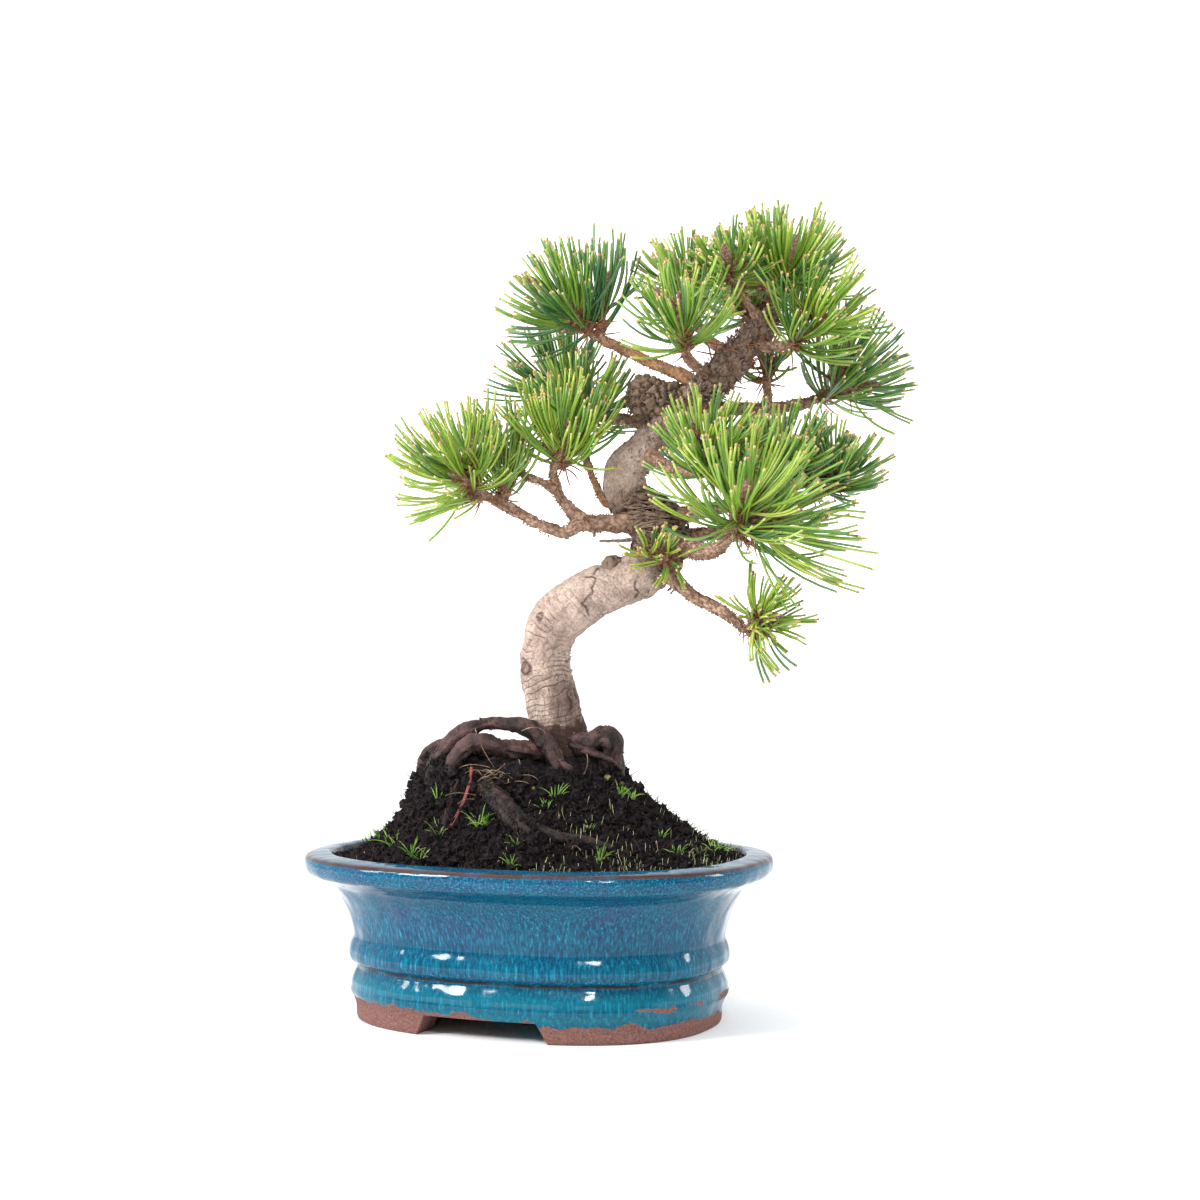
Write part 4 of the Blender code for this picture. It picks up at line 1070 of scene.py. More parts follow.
BOUGHS = (
    Limb("bough_left", (
        (10, 4, 191, 4.4), (-6, -2, 190, 3.7), (-14, -4, 190, 3.5), (-19.5, -5, 186.5, 2.9),
        (-28, -6, 188.6, 2.6), (-37, -6, 193.5, 2.4), (-47, -8, 199, 2.1),
    )),
    Limb("bough_left_upper", (
        (-13, -4, 190.5, 2.8), (-18.5, -2, 196, 2.6), (-22.5, 0, 201.5, 2.4), (-24, 2, 207, 2.0),
    )),
    Limb("bough_left_twig", (
        (-23.5, 0.4, 203, 1.8), (-28, 0, 205.6, 1.8), (-33, 0, 207.6, 1.6),
    )),
    Limb("bough_thin", (
        (1, 7, 196, 2.0), (-5.5, 9, 200.5, 1.9), (-8.5, 11, 207, 1.7), (-11, 12, 213.5, 1.5),
    ), BarkAge.ORANGE),
    Limb("bough_front", (
        (16, 0, 185, 4.8), (25, -12, 181, 4.0), (34, -26, 178.5, 3.4), (40, -36, 181.6, 2.4),
    )),
    Limb("bough_low_right", (
        (14, 0, 174, 3.6), (23, -8, 167.5, 3.0), (29, -14, 162, 2.8), (37, -18, 158, 2.6),
        (44, -20, 153.4, 2.4), (46.5, -20, 151, 2.1),
    )),
    Limb("bough_upper_left", (
        (34, 3, 243, 3.0), (25, 4, 247.8, 2.6), (13, 6, 253, 2.5), (1.5, 9, 258.8, 2.3), (-5, 10, 262, 2.0),
    ), BarkAge.ORANGE),
    Limb("bough_top_left_front", (
        (37, 1, 246, 2.6), (31, -8, 249.5, 2.2), (26.5, -14, 253, 2.0), (25, -18, 257, 1.8),
    )),
    Limb("bough_top_left_rear", (
        (46, 3, 255, 2.6), (38.5, 12, 260.5, 2.2), (33, 17, 267, 2.0), (31, 19, 273, 1.8),
    )),
    Limb("bough_top_middle", (
        (57, 2, 267, 2.4), (53, -5, 271, 2.0), (48.5, -9.5, 276.5, 1.8),
    )),
    Limb("bough_right_upper", (
        (50, 2, 259, 2.8), (59, -2, 258, 2.4), (66, -5, 258.6, 2.1),
    )),
    Limb("bough_right_far", (
        (30, 5, 237, 3.4), (42, 11, 235.5, 3.0), (59, 15, 235.6, 2.7), (74, 19, 238, 2.4),
        (80, 20.5, 240, 2.1),
    )),
    Limb("bough_centre", (
        (59, 15, 236, 2.0), (59.4, 13.4, 240.5, 1.8), (59, 12.4, 244, 1.6),
    )),
    Limb("bough_front_left", (
        (11, 8, 219, 3.0), (17, -6, 213.5, 2.6), (23.5, -16, 209.5, 2.3), (28.5, -22.5, 208.6, 2.0),
    )),
    Limb("bough_right_middle", (
        (18, 3, 192, 3.4), (33, -3, 195, 2.8), (46, -10, 197, 2.4), (56, -15, 199, 2.1),
    )),
    Limb("bough_right_outer", (
        (19, 4, 184, 3.6), (38, 3, 186.5, 3.0), (56, -3, 190, 2.6), (66, -8, 194.5, 2.3), (71, -10, 198, 2.1),
    )),
    Limb("bough_back_right", (
        (17, 5, 189, 3.6), (26, 19, 193, 3.0), (38, 30, 196.5, 2.6), (48, 37, 200, 2.1),
    )),
    Limb("bough_back_high", (
        (48, 3, 257, 3.0), (51, 15, 258.5, 2.5), (53, 26, 262, 2.3), (54, 34, 267, 2.0),
    )),
    Limb("bough_back_left", (
        (18, 7, 226, 3.2), (7, 20, 231, 2.6), (-6, 32, 234, 2.3), (-14, 40, 237, 2.0),
    )),
)

STUB = Limb("old_bough_stub", (
    (27, 5, 236, 6.5), (18, 6, 238, 7.2), (10, 7, 239, 7.4), (5, 8, 239, 5.4),
), BarkAge.ROUGH)


@dataclass(frozen=True)
class Scar:
    """A healed knot or a cut branch's collar on the trunk."""

    place: tuple[float, float, float]
    radius: float
    height: float
    hollow: float


SCARS = (
    Scar((-34.4, -6.4, 134.9), 2.5, 1.1, 0.9),
    Scar((-28.6, -8.0, 154.5), 1.6, 0.6, 0.8),
    Scar((-16.0, 9.0, 128.0), 2.0, 0.8, 0.8),
    Scar((-30.5, 7.0, 148.0), 1.4, 0.5, 0.7),
)

KNOB = ((2.0, -3.0, 168.5, 4.5), (-1.6, -3.9, 173.8, 4.6), (-3.1, -4.4, 176.4, 4.2))

FLAKE_EDGES = (
    ((-11.3, 169.0), (-7.6, 168.2), (-9.0, 165.2), (-9.2, 163.3), (-12.0, 160.9), (-13.2, 159.5),
     (-11.6, 157.4), (-10.9, 155.6)),
    ((7.4, 168.2), (6.6, 165.9), (7.9, 163.7), (7.0, 161.4)),
    ((-6.7, 172.4), (-8.6, 169.4)),
)


@dataclass
class Wood:
    """The trunk, its old stub, the boughs and the bare roots, each with its own bark relief."""

    trunk_sides: int = 136
    trunk_step: float = 0.5
    root_sides: int = 56
    bough_sides: int = 30
    fine_step: float = 0.5
    crease_gap: float = 2.3
    buried: float = 6.0
    buried_root: int = 4
    strand_count: int = 235
    strand_sides: int = 7
    strand_span: tuple[float, float] = (104.0, 137.0)
    seed: int = 3

    def trunk(self) -> bpy.types.Object:
        """Make the trunk: creased and flaking low down, deeply fissured at the knuckle, rough above."""
        tube = Tube(smooth_path(TRUNK.path, self.trunk_step), self.trunk_sides)
        place = tube.surface()
        along = tube.along
        climb = along + self.buried
        age = np.interp(climb, (0, 20, 84, 98, 105, 134, 140, 146, 160, 172, 184, 240),
                        (0.2, 0.0, 0.0, 0.20, 0.90, 0.90, 0.30, 0.06, 0.03, 0.50, 0.85, 0.95))
        age = np.clip(age + rough(place, 6.0, 3, 41) * 0.16, 0.0, 1.0)
        knuckle = np.interp(climb, (98, 106, 132, 140), (0.0, 1.0, 1.0, 0.0))
        lumps = rough(place, 15.0, 3, 42) * 0.6
        smooth_skin = 1.0 - age
        creases = self.creases(place, along) * smooth_skin * (1 - knuckle)
        creases *= np.interp(climb, (64, 82), (1.0, 0.25))
        thin, thin_edge = self.flakes(place * np.array([1.0, 1.0, 0.8]), 5.2, 60)
        thin_edge *= ease(-0.1, 0.3, swell(place, 7.0, 65))
        upper = np.interp(climb, (164, 180), (0.0, 1.0))
        flakes, flake_edge = self.flake_steps(place)
        crust, crust_edge = self.flakes(place * np.array([1.2, 1.2, 0.8]), 3.8, 44)
        strands = np.stack([tube.angle * tube.radii * 0.5, along * 1.35 + tube.angle * 1.6, tube.radii], axis=1)
        fissures = 1.0 - np.abs(rough(strands, 4.0, 3, 45))
        chips = ease(0.05, 0.4, rough(place * np.array([1.0, 1.0, 1.5]), 3.4, 3, 57))
        relief = lumps + rough(place, 1.5, 2, 46) * (0.24 + 0.2 * age) + chips * 0.16 * smooth_skin
        relief += rough(place, 6.0, 2, 58) * 0.32 + rough(place, 3.0, 3, 59) * upper * 0.8
        relief += (thin * 0.2 - thin_edge * 0.1) * smooth_skin - upper * 0.8 - knuckle * 0.5
        relief += flakes * 0.6 - creases * 0.3 - flake_edge * 0.3
        relief += (crust * 0.9 - crust_edge * 0.5) * age
        relief += (ease(0.35, 0.95, fissures) * 2.5 - 1.4) * knuckle
        crack = np.clip(creases * 0.34 + flake_edge * 0.9 + thin_edge * smooth_skin * 0.24 + crust_edge * age * 0.8
                        + knuckle * (0.55 + (1 - ease(0.35, 0.8, fissures)) * 0.45), 0, 1)
        shade = ease(-0.1, 0.7, rough(place * np.array([1.0, 1.0, 0.6]), 5.0, 3, 56)) * ease(150.0, 118.0, place[:, 2])
        foot = ease(115.5, 110.5, place[:, 2] + rough(place, 4.0, 2, 47) * 2.0)
        # worn and turned paint shade down the right side of the lower trunk, with a ragged edge, through the crack
        # colour.
        worn = tube.out[:, 0] + rough(place, 6.0, 3, 66) * 0.16 + (126.0 - place[:, 2]) * 0.006
        turned = ease(-0.08, 0.14, worn) * ease(143.0, 124.0, place[:, 2])
        grime = rough(place * np.array([1.0, 1.0, 0.5]), 2.2, 3, 67) * upper
        crack = np.clip(crack + shade * 0.34 + turned * 0.54 + ease(0.0, 0.6, grime) * 0.6 + foot * 0.92, 0, 1)
        for scar in SCARS:
            centre = place[np.linalg.norm(place - np.array(scar.place), axis=1).argmin()]
            distance = np.linalg.norm(place - centre, axis=1) / scar.radius + rough(place, 1.4, 2, 70) * 0.12
            inside = np.clip(1.15 - distance, 0, 1)
            rim = np.exp(-((distance - 0.85) / 0.28) ** 2)
            relief += scar.height * (ease(0, 0.6, inside) * (1 - scar.hollow) + rim * 0.55)
            ring = np.exp(-((distance - 0.9) / 0.26) ** 2)
            heart = ease(0.3, 0.7, inside) * (0.55 + rough(place, 1.0, 2, 79) * 0.6)
            crack = np.clip(crack + ring * 0.95 + heart * scar.hollow, 0, 1)
            age = np.clip(age + ease(0, 0.5, inside) * 0.5, 0, 1)
        shell = Shell()
        phase = along / self.crease_gap + swell(place, 12.0, 51) * 1.4 + swell(place, 4.0, 52) * 0.35
        tube.add_to(shell, relief, crack=crack, age=age, fold=phase)
        knob = Tube(smooth_path(KNOB, 0.4), 60)
        skin = knob.surface()
        end = ease(knob.along.max() - 2.6, knob.along.max(), knob.along)
        dents = rough(skin * np.array([1.0, 1.0, 0.5]), 1.8, 3, 48)
        crack = np.clip(0.25 + ease(0.0, 0.6, -dents) * 0.6, 0, 1)
        knob.add_to(shell, dents * 0.5 - end * 0.9, crack=crack, age=np.full(len(skin), 0.75),
                    fold=np.full(len(skin), 0.5))
        self.strands(shell, tube)
        self.scales(shell, [(tube, 1300)], 0.6, 1.4, 49)
        self.scales(shell, [(Tube(smooth_path(TRUNK.path[-7:], 0.6), 60), 950)], 1.0, 2.4, 50)
        shell.marks["fold"].append(np.full(shell.count - sum(map(len, shell.marks["fold"])), 0.5))
        finish = PineBark("flaking_pine_bark", roughness=0.86, relief=0.4, age=BarkAge.TRUNK, folds=0.9, checks=0.8,
                          mottle=0.52)
        return shell.piece("trunk_bark", finish.material(), "bark_grey", ("trunk",))

    def strands(self, shell: Shell, tube: Tube) -> None:
        """Lay the wavy strands of old bark that wrap the knuckle.

        Args:
            shell: What they are added to.
            tube: The trunk.
        """
        generator = np.random.default_rng(self.seed + 5)
        near = (tube.along + self.buried > self.strand_span[0]) & (tube.along + self.buried < self.strand_span[1])
        bark, out = tube.surface()[near], tube.out[near]
        for _ in range(self.strand_count):
            spin = generator.uniform(0, 2 * math.pi)
            level = np.array([math.cos(spin), math.sin(spin), 0.0])
            shown = out @ np.array([math.sin(spin), -math.cos(spin), 0.0]) > 0.1
            some, facing = bark[shown], out[shown]
            start = some[generator.integers(len(some))]
            travel = np.linspace(-0.5, 0.5, 16) * generator.uniform(6.0, 15.0)
            drop = np.sin(travel * generator.uniform(0.3, 0.9) + generator.uniform(0.0, 6.0)) * 0.8
            drop += travel * generator.uniform(-0.45, 0.15)
            across = some @ level - (start @ level + travel)[:, None]
            gap = across ** 2 + (some[:, 2] - (start[2] + drop)[:, None]) ** 2
            pick = gap.argmin(axis=1)[gap.min(axis=1) < 0.6]
            if len(pick) < 7:
                continue
            place = some[pick] + facing[pick] * generator.uniform(0.1, 0.75)
            for _ in range(2):
                place[1:-1] = (place[:-2] + place[1:-1] + place[2:]) / 3
            share = np.linspace(0.05, 0.95, len(pick))
            thick = generator.uniform(0.3, 0.7) * np.sin(math.pi * share) ** 0.5
            strand = Tube(np.column_stack([place, thick]), self.strand_sides)
            lit = (strand.out * np.repeat(facing[pick], self.strand_sides, axis=0)).sum(axis=1)
            skin = strand.surface()
            # The flanks of each strand that turn away from the trunk's face get painted shade.
            crack = np.clip(ease(0.9, 0.3, lit) + ease(-0.2, 0.5, rough(skin, 2.0, 2, 68)) * 0.6, 0, 1)
            strand.add_to(shell, rough(skin, 0.9, 2, 69) * 0.3, crack=crack, age=np.full(len(skin), 0.9))

    def flake_steps(self, place: np.ndarray) -> tuple[np.ndarray, np.ndarray]:
        """Give the thin flakes that lift at a few broken edges on the front, and those edges, both 0 to 1."""
        step = np.zeros(len(place))
        edge = np.zeros(len(place))
        flat = place[:, [0, 2]] + np.stack([swell(place, 1.8, seed) for seed in (54, 55)], axis=1) * 0.5
        front = place[:, 1] < 0
        for line in FLAKE_EDGES:
            for start, end in zip(line, line[1:]):
                along = np.array(end) - np.array(start)
                share = np.clip(((flat - start) @ along) / (along @ along), 0, 1)
                gap = flat - start - share[:, None] * along
                distance = np.linalg.norm(gap, axis=1)
                side = gap[:, 0] * along[1] - gap[:, 1] * along[0]
                edge = np.maximum(edge, (1 - ease(0.15, 0.5, distance)) * front)
                step = np.maximum(step, (1 - ease(0.3, 5.0, distance)) * front * (side > 0))
        return step, edge

    def creases(self, place: np.ndarray, along: np.ndarray) -> np.ndarray:
        """Give the fine folds that run part of the way round the trunk, 0 to 1."""
        phase = along / self.crease_gap + swell(place, 12.0, 51) * 1.4 + swell(place, 4.0, 52) * 0.35
        fold = np.abs(phase - np.round(phase))
        line = 1 - ease(0.03, 0.16, fold)
        return line * ease(-0.15, 0.35, swell(place * np.array([1, 1, 1.6]), 9.0, 53))

    def flakes(self, place: np.ndarray, size: float, seed: int) -> tuple[np.ndarray, np.ndarray]:
        """Give each plate's own height and the crack at its edge, both 0 to 1."""
        bent = place + np.stack([swell(place, size * 0.6, seed + turn) for turn in range(3)], axis=1) * size * 0.3
        edge, own = plates(bent, size, seed)
        return own * ease(0.0, 0.25, edge), 1 - ease(0.015, 0.10, edge)

    def stub(self) -> bpy.types.Object:
        """Make the old bough's stub, crumbling all over."""
        tube = Tube(smooth_path(STUB.path, 0.42), 96)
        place = tube.surface()
        crust, edge = self.flakes(place, 3.4, 61)
        fine = rough(place, 1.5, 3, 62)
        relief = rough(place, 8.0, 3, 63) * 1.2 + crust * 1.5 - edge * 0.8 + fine * 0.45
        end = np.clip((tube.along - tube.along.max() + 3.0) / 3.0, 0, 1)
        relief -= end * 1.6
        shell = Shell()
        crack = np.clip(edge * 0.9 + ease(0.1, 0.8, -fine) * 0.6, 0, 1)
        tube.add_to(shell, relief, crack=crack, age=np.full(len(place), 0.9))
        self.scales(shell, [(tube, 900)], 1.0, 2.2, 64)
        finish = PineBark("crumbling_old_bark", roughness=0.93, relief=0.3, age=BarkAge.ROUGH)
        return shell.piece("stub_bark", finish.material(), "bark_brown", ("old_bough_stub",))

    def roots(self, soil: SoilHeap) -> bpy.types.Object:
        """Make the bare roots: smooth skin in long soft folds, darker towards the soil, with painted shade on their
        undersides.

        Args:
            soil: The heap, for the roots that run along its surface.

        Returns:
            The piece.
        """
        shell = Shell()
        limbs = []
        paths = [limb.path for limb in ROOTS] + list(SMALL_ROOTS)
        for rows in GROUND_ROOTS:
            paths.append(tuple((x, y, soil.height_at(x, y) + rise, radius) for x, y, rise, radius in rows))
        for order, path in enumerate(paths):
            tube = Tube(smooth_path(path, 0.55), self.root_sides if order < len(ROOTS) else 28)
            place = tube.surface()
            folds = np.stack([tube.angle * tube.radii * 1.3, tube.along * 0.22, tube.radii + 9.0 * order], axis=1)
            long_folds = rough(folds, 2.4, 2, 71)
            relief = rough(place, 7.0, 3, 72) * 0.75 + long_folds * 0.45 + rough(place, 2.2, 3, 73) * 0.35
            rings = swell(np.stack([tube.along, tube.angle * 0.4, np.full(len(place), float(order))], 1), 1.6, 74)
            relief += rings * 0.09
            grounded = order == self.buried_root or order >= len(paths) - len(GROUND_ROOTS)
            relief += rough(place, 1.8, 3, 77) * (0.55 if grounded else 0.0)
            crack = np.clip(ease(0.15, 0.75, -long_folds) * 0.7 + ease(0.1, 0.7, rough(place, 6.0, 2, 75)) * 0.25, 0, 1)
            # under paints shade on the roots' undersides, darker the more they face down.
            under = ease(0.35, -0.7, tube.out[:, 2]) * 0.6
            # damp sets how much darker the roots get downwards from 103 mm to 90 mm, patchy on roots that lie on the
            # ground.
            damp = 0.78 + rough(place, 2.6, 3, 78) * 0.5 * grounded
            crack = np.clip(crack + under + ease(103.0, 90.0, place[:, 2]) * damp, 0, 1)
            limit = np.minimum(tube.radii * 0.3, 1.0)
            tube.add_to(shell, np.clip(relief, -limit, limit), crack=crack, age=np.zeros(len(place)))
            limbs.append((tube, int(tube.along.max() * (34 if grounded else 6))))
        self.scales(shell, limbs, 0.4, 1.3, 76, 0.5)
        finish = PineBark("weathered_root_skin", roughness=0.55, relief=0.6, gleam=0.35, age=BarkAge.ROOT, grain=0.9)
        names = tuple(limb.name for limb in ROOTS)
        return shell.piece("root_skin", finish.material(), "bark_root", names)

    def boughs(self, age: BarkAge) -> bpy.types.Object:
        """Make the boughs of one bark.

        Args:
            age: Which bark.

        Returns:
            The piece.
        """
        shell = Shell()
        limbs = [limb for limb in BOUGHS if limb.age is age]
        scaled = []
        for limb in limbs:
            tube = Tube(smooth_path(limb.path, self.fine_step), self.bough_sides)
            self.scaly(shell, tube, 0.42, 1.1, 1.0 if age is BarkAge.TWIG else 0.3)
            scaled.append((tube, int(tube.along.max() * 6)))
        self.scales(shell, scaled, 0.5, 1.3, 81)
        name = "scaly_brown_bark" if age is BarkAge.TWIG else "scaly_orange_bark"
        slot = "bark_brown" if age is BarkAge.TWIG else "bark_orange"
        finish = PineBark(name, roughness=0.88, relief=0.25, age=age, grain=0.7, blotch=4.0)
        return shell.piece(name.replace("_bark", "_boughs"), finish.material(), slot,
                           tuple(limb.name for limb in limbs))

    def twigs(self, paths: list) -> bpy.types.Object:
        """Make the twigs that carry the boughs on into the needles.

        Args:
            paths: Paths of the twigs, as rows of x, y, z and radius.

        Returns:
            The piece.
        """
        shell = Shell()
        scaled = []
        for path in paths:
            tube = Tube(smooth_path(path, 0.7), 14)
            self.scaly(shell, tube, 0.24, 0.0, 1.0)
            scaled.append((tube, int(tube.along.max() * 6)))
        self.scales(shell, scaled, 0.5, 1.3, 85)
        finish = PineBark("scaly_twig_bark", roughness=0.88, relief=0.25, age=BarkAge.TWIG, grain=0.7, blotch=4.0)
        return shell.piece("scaly_brown_twigs", finish.material(), "bark_brown")

    def scaly(self, shell: Shell, tube: Tube, depth: float, flare: float, aged: float) -> None:
        """Add a limb whose bark is the bases of shed scale leaves, in small plates.

        Args:
            shell: What it is added to.
            tube: The limb.
            depth: Height of a plate in millimetres.
            flare: Swelling where it leaves what carries it.
            aged: How far its bark has gone grey and cracked, 0 to 1.
        """
        place = tube.surface()
        skin = np.stack([tube.angle * tube.radii, tube.along * 0.55, tube.radii * 3 + place[:, 0] * 0.05], axis=1)
        edge, own = plates(skin, 1.7, 82)
        crack = 1 - ease(0.04, 0.22, edge)
        relief = (own - 0.4) * depth - crack * depth * 0.9 + rough(place, 5.0, 2, 83) * depth * 1.1
        relief += flare * np.exp(-tube.along / 4.0) - 0.3
        age = np.clip(0.2 + rough(place, 6.0, 2, 84) * 0.5, 0, 0.9)
        tube.add_to(shell, relief, crack=crack * (0.25 + 0.4 * aged), age=age * aged)

    def scales(self, shell: Shell, tubes: list, low: float, high: float, seed: int,
               damp: float = 0.0) -> None:
        """Stand small dry bark scales on limbs, leaning along them.

        Args:
            shell: What they are added to; it carries the marks of cracks and painted shade, and of age.
            tubes: Pairs of a tube and a count.
            low: Shortest scale.
            high: Longest scale.
            seed: The source of chance.
            damp: How dark the driest scale is, 0 to 1.
        """
        generator = np.random.default_rng(seed)
        for tube, count in tubes:
            pick = generator.integers(0, len(tube.centres), count)
            root = tube.surface()[pick] - tube.out[pick] * 0.42
            ways = np.repeat(tube.ways, tube.sides, axis=0)[pick]
            lean = generator.uniform(0.1, 1.2, (count, 1))
            way = unit(ways * lean + tube.out[pick] * 0.8 + generator.normal(size=(count, 3)) * 0.25)
            length = generator.uniform(low, high, (count, 1)) * generator.uniform(0.6, 1.0, (count, 1))
            before = shell.count
            blades(shell, root, root + way * length * 0.6 - ways * 0.1, root + way * length, (0.34, 0.30, 0.08), steps=2)
            added = shell.count - before
            shell.marks["crack"].append(np.repeat(damp + generator.uniform(0.0, 0.45, count), added // max(count, 1)))
            shell.marks["age"].append(np.repeat(generator.uniform(0.1, 0.8, count), added // max(count, 1)))


# Needles


class Green(Enum):
    """The greens of the sprays, each with a deep and a light tone."""

    FRESH = ("#86A026", "#B0C454")
    BRIGHT = ("#6C9628", "#94B446")
    MID = ("#55822C", "#7A9C40")
    DARK = ("#42702C", "#608A40")
    DEEP = ("#316036", "#497A44")


class Palette(Enum):
    """How often each green is dealt to the sprays of a mass, from fresh to deep; lighter mixes go to masses in light
    and darker ones to masses in shade, as painted light.
    """

    PALE = (0.60, 0.30, 0.08, 0.02, 0.0)
    LIT = (0.26, 0.38, 0.24, 0.10, 0.02)
    EVEN = (0.08, 0.27, 0.35, 0.24, 0.06)
    SHADED = (0.02, 0.12, 0.30, 0.34, 0.22)


@dataclass(frozen=True)
class Lead:
    """A shoot with a candle bud that leads its mass: its foot, its bud's foot and its sizes."""

    base: tuple[float, float, float]
    bud: tuple[float, float, float]
    needle: float
    pairs: int = 36
    spread: float = 80.0
    candle: float = 9.0
    crown: float = 17.0
    lift: float = 0.25


@dataclass(frozen=True)
class Mass:
    """A mass of needles: the limb it grows from, the sizes of its seeded rule and its leading shoots."""

    name: str
    limb: str
    heading: tuple[float, float, float]
    stem: float
    shoots: int
    fan: float
    needle: float
    spread: float = 78.0
    foot: tuple = ()
    palette: Palette = Palette.EVEN
    pairs: int = 10
    leads: tuple = ()


MASSES = (
    Mass("mass_left_far", "bough_left", (-0.6, -0.25, 0.5), 6, 4, 44, 30, palette=Palette.PALE, leads=(
        Lead((-54.1, -8, 200.7), (-62.5, -14, 215.6), 31, 46, 92, 11, 20, 0.2),
        Lead((-52.0, -8, 199.0), (-58.5, -12, 199.8), 30, 8, 58, 4, 27, -0.1))),
    Mass("mass_left_middle", "bough_left_twig", (-0.6, 0.25, 0.7), 5, 2, 34, 24, palette=Palette.LIT, leads=(
        Lead((-43.2, -4, 200.1), (-43, 2, 212.8), 25, 26, 66, 9, 15, 0.4),)),
    Mass("mass_left_inner_low", "bough_left_upper", (0.25, -0.2, 1.0), 5, 3, 34, 31, 70, palette=Palette.PALE, leads=(
        Lead((-20.2, 4, 212.5), (-19.8, -2, 222.2), 33, 40, 76, 9, 24, 0.4),)),
    Mass("mass_left_inner_high", "bough_thin", (-0.1, 0.4, 1.0), 12, 4, 42, 29, leads=(
        Lead((-16.6, 22, 229.4), (-14.2, 26, 240), 29, 34, 80, 9, 18, 0.2),)),
    Mass("mass_upper_left", "bough_upper_left", (-0.62, 0.0, 0.4), 4, 4, 46, 32, palette=Palette.SHADED, leads=(
        Lead((-9.8, 10, 264.7), (-27.2, 2, 279.3), 32, 50, 74, 12, 13, 0.35),
        Lead((-6.3, 10, 263.6), (-3.9, 14, 282), 36, 16, 30, 9, 25, 0.3))),
    Mass("mass_top_left_front", "bough_top_left_front", (-0.2, -0.45, 1.0), 5, 3, 30, 24, 82,
         palette=Palette.LIT, pairs=5, leads=(
        Lead((26.9, -18, 254.9), (23, -24, 265.7), 31, 46, 84, 10, 18, 0.3),)),
    Mass("mass_top_left_rear", "bough_top_left_rear", (-0.25, 0.3, 1.0), 5, 3, 46, 22, palette=Palette.LIT, leads=(
        Lead((29.1, 18, 282.6), (25.3, 22, 291), 22, 30, 84, 9, 13, 0.2),)),
    Mass("mass_top_middle", "bough_top_middle", (-0.35, -0.75, 0.8), 4, 2, 34, 20, palette=Palette.LIT, leads=(
        Lead((44.4, -10, 281.5), (41.8, -22, 287.7), 20, 26, 86, 13, 12, 0.2),)),
    Mass("mass_apex", "trunk", (0.06, 0.0, 1.0), 4, 5, 48, 31, 68, palette=Palette.LIT, leads=(
        Lead((64.7, 0, 281.3), (67.2, -2, 291.0), 29, 40, 84, 12, 22, 0.3),
        Lead((58.9, 6, 281), (53, 10, 291.0), 28, 30, 80, 9, 22, 0.3))),
    Mass("mass_right_upper", "bough_right_upper", (0.72, -0.4, 0.6), 5, 3, 38, 31, palette=Palette.LIT, leads=(
        Lead((66.5, -6, 258.3), (74.4, -12, 263.3), 30, 38, 80, 9, 20, 0.35),)),
    Mass("mass_right_far", "bough_right_far", (0.78, 0.12, 0.52), 5, 4, 44, 30, leads=(
        Lead((81.2, 20, 239.1), (94.0, 23, 246.8), 29, 42, 84, 9, 19, 0.2),)),
    Mass("mass_centre", "bough_centre", (0.05, -0.1, 1.0), 3, 2, 34, 13, leads=(
        Lead((59, 12, 245), (58.2, 12, 250.0), 14, 16, 84, 5, 9, 0.2),)),
    Mass("mass_front", "bough_front", (0.5, -0.35, 0.72), 8, 5, 52, 38, 96, palette=Palette.LIT, pairs=6, leads=(
        Lead((42.6, -42, 184.5), (45.6, -52, 197.0), 37, 44, 88, 12, 26, 0.35),
        Lead((45.0, -36, 184.0), (50.6, -42, 192.0), 34, 18, 70, 10, 24, 0.3),
        Lead((49.3, -36, 186.6), (61.6, -36, 192.0), 38, 20, 74, 7, 28, 0.0),
        Lead((46.3, -38, 186.0), (58.6, -41, 185.0), 46, 9, 44, 5, 42, -0.04))),
    Mass("mass_front_left", "bough_front_left", (0.42, -0.3, 0.95), 5, 3, 42, 24, palette=Palette.LIT, leads=(
        Lead((35.2, -34, 205.1), (33.8, -34, 216.0), 28, 44, 84, 8, 17, 0.2),)),
    Mass("mass_right_middle", "bough_right_middle", (0.45, -0.2, 0.95), 6, 3, 42, 27, leads=(
        Lead((59.4, -24, 203), (63.4, -20, 214.0), 28, 40, 80, 8, 17, 0.2),)),
    Mass("mass_right_outer", "bough_right_outer", (0.66, -0.1, 0.56), 2, 4, 46, 25, palette=Palette.SHADED, leads=(
        Lead((82.9, -14, 203.5), (85.8, -12, 211.0), 25, 34, 86, 7, 16, 0.1),)),
    Mass("mass_right_low", "bough_low_right", (0.8, -0.3, 0.2), 3, 3, 50, 20, palette=Palette.PALE, pairs=5, leads=(
        Lead((50.9, -22, 153.8), (57.6, -29, 154.4), 19, 44, 92, 7, 13, 0.05),
        Lead((48.0, -20, 150.0), (53.0, -21, 146.6), 23, 4, 64, 3, 22, -0.14))),
    Mass("mass_knuckle_sprig", "trunk", (0.05, -1.0, 0.05), 13, 2, 40, 12, foot=(13, 0, 176), palette=Palette.PALE,
         leads=(Lead((21, -14, 175.0), (17.4, -21, 176.2), 14, 16, 100, 5, 10, -0.05),)),
    Mass("mass_back_right", "bough_back_right", (0.5, 0.55, 0.7), 7, 4, 44, 30, leads=(
        Lead((57, 44, 208), (62, 48, 217), 28, 36, 86, 9, 18, 0.2),)),
    Mass("mass_back_high", "bough_back_high", (0.1, 0.7, 0.75), 6, 4, 44, 29, palette=Palette.LIT, leads=(
        Lead((54, 40, 274), (54, 46, 283), 26, 36, 86, 9, 16, 0.2),)),
    Mass("mass_back_left", "bough_back_left", (-0.55, 0.4, 0.7), 6, 4, 44, 29, palette=Palette.SHADED, leads=(
        Lead((-20, 44, 243), (-27, 47, 252), 27, 36, 86, 9, 17, 0.2),)),
)


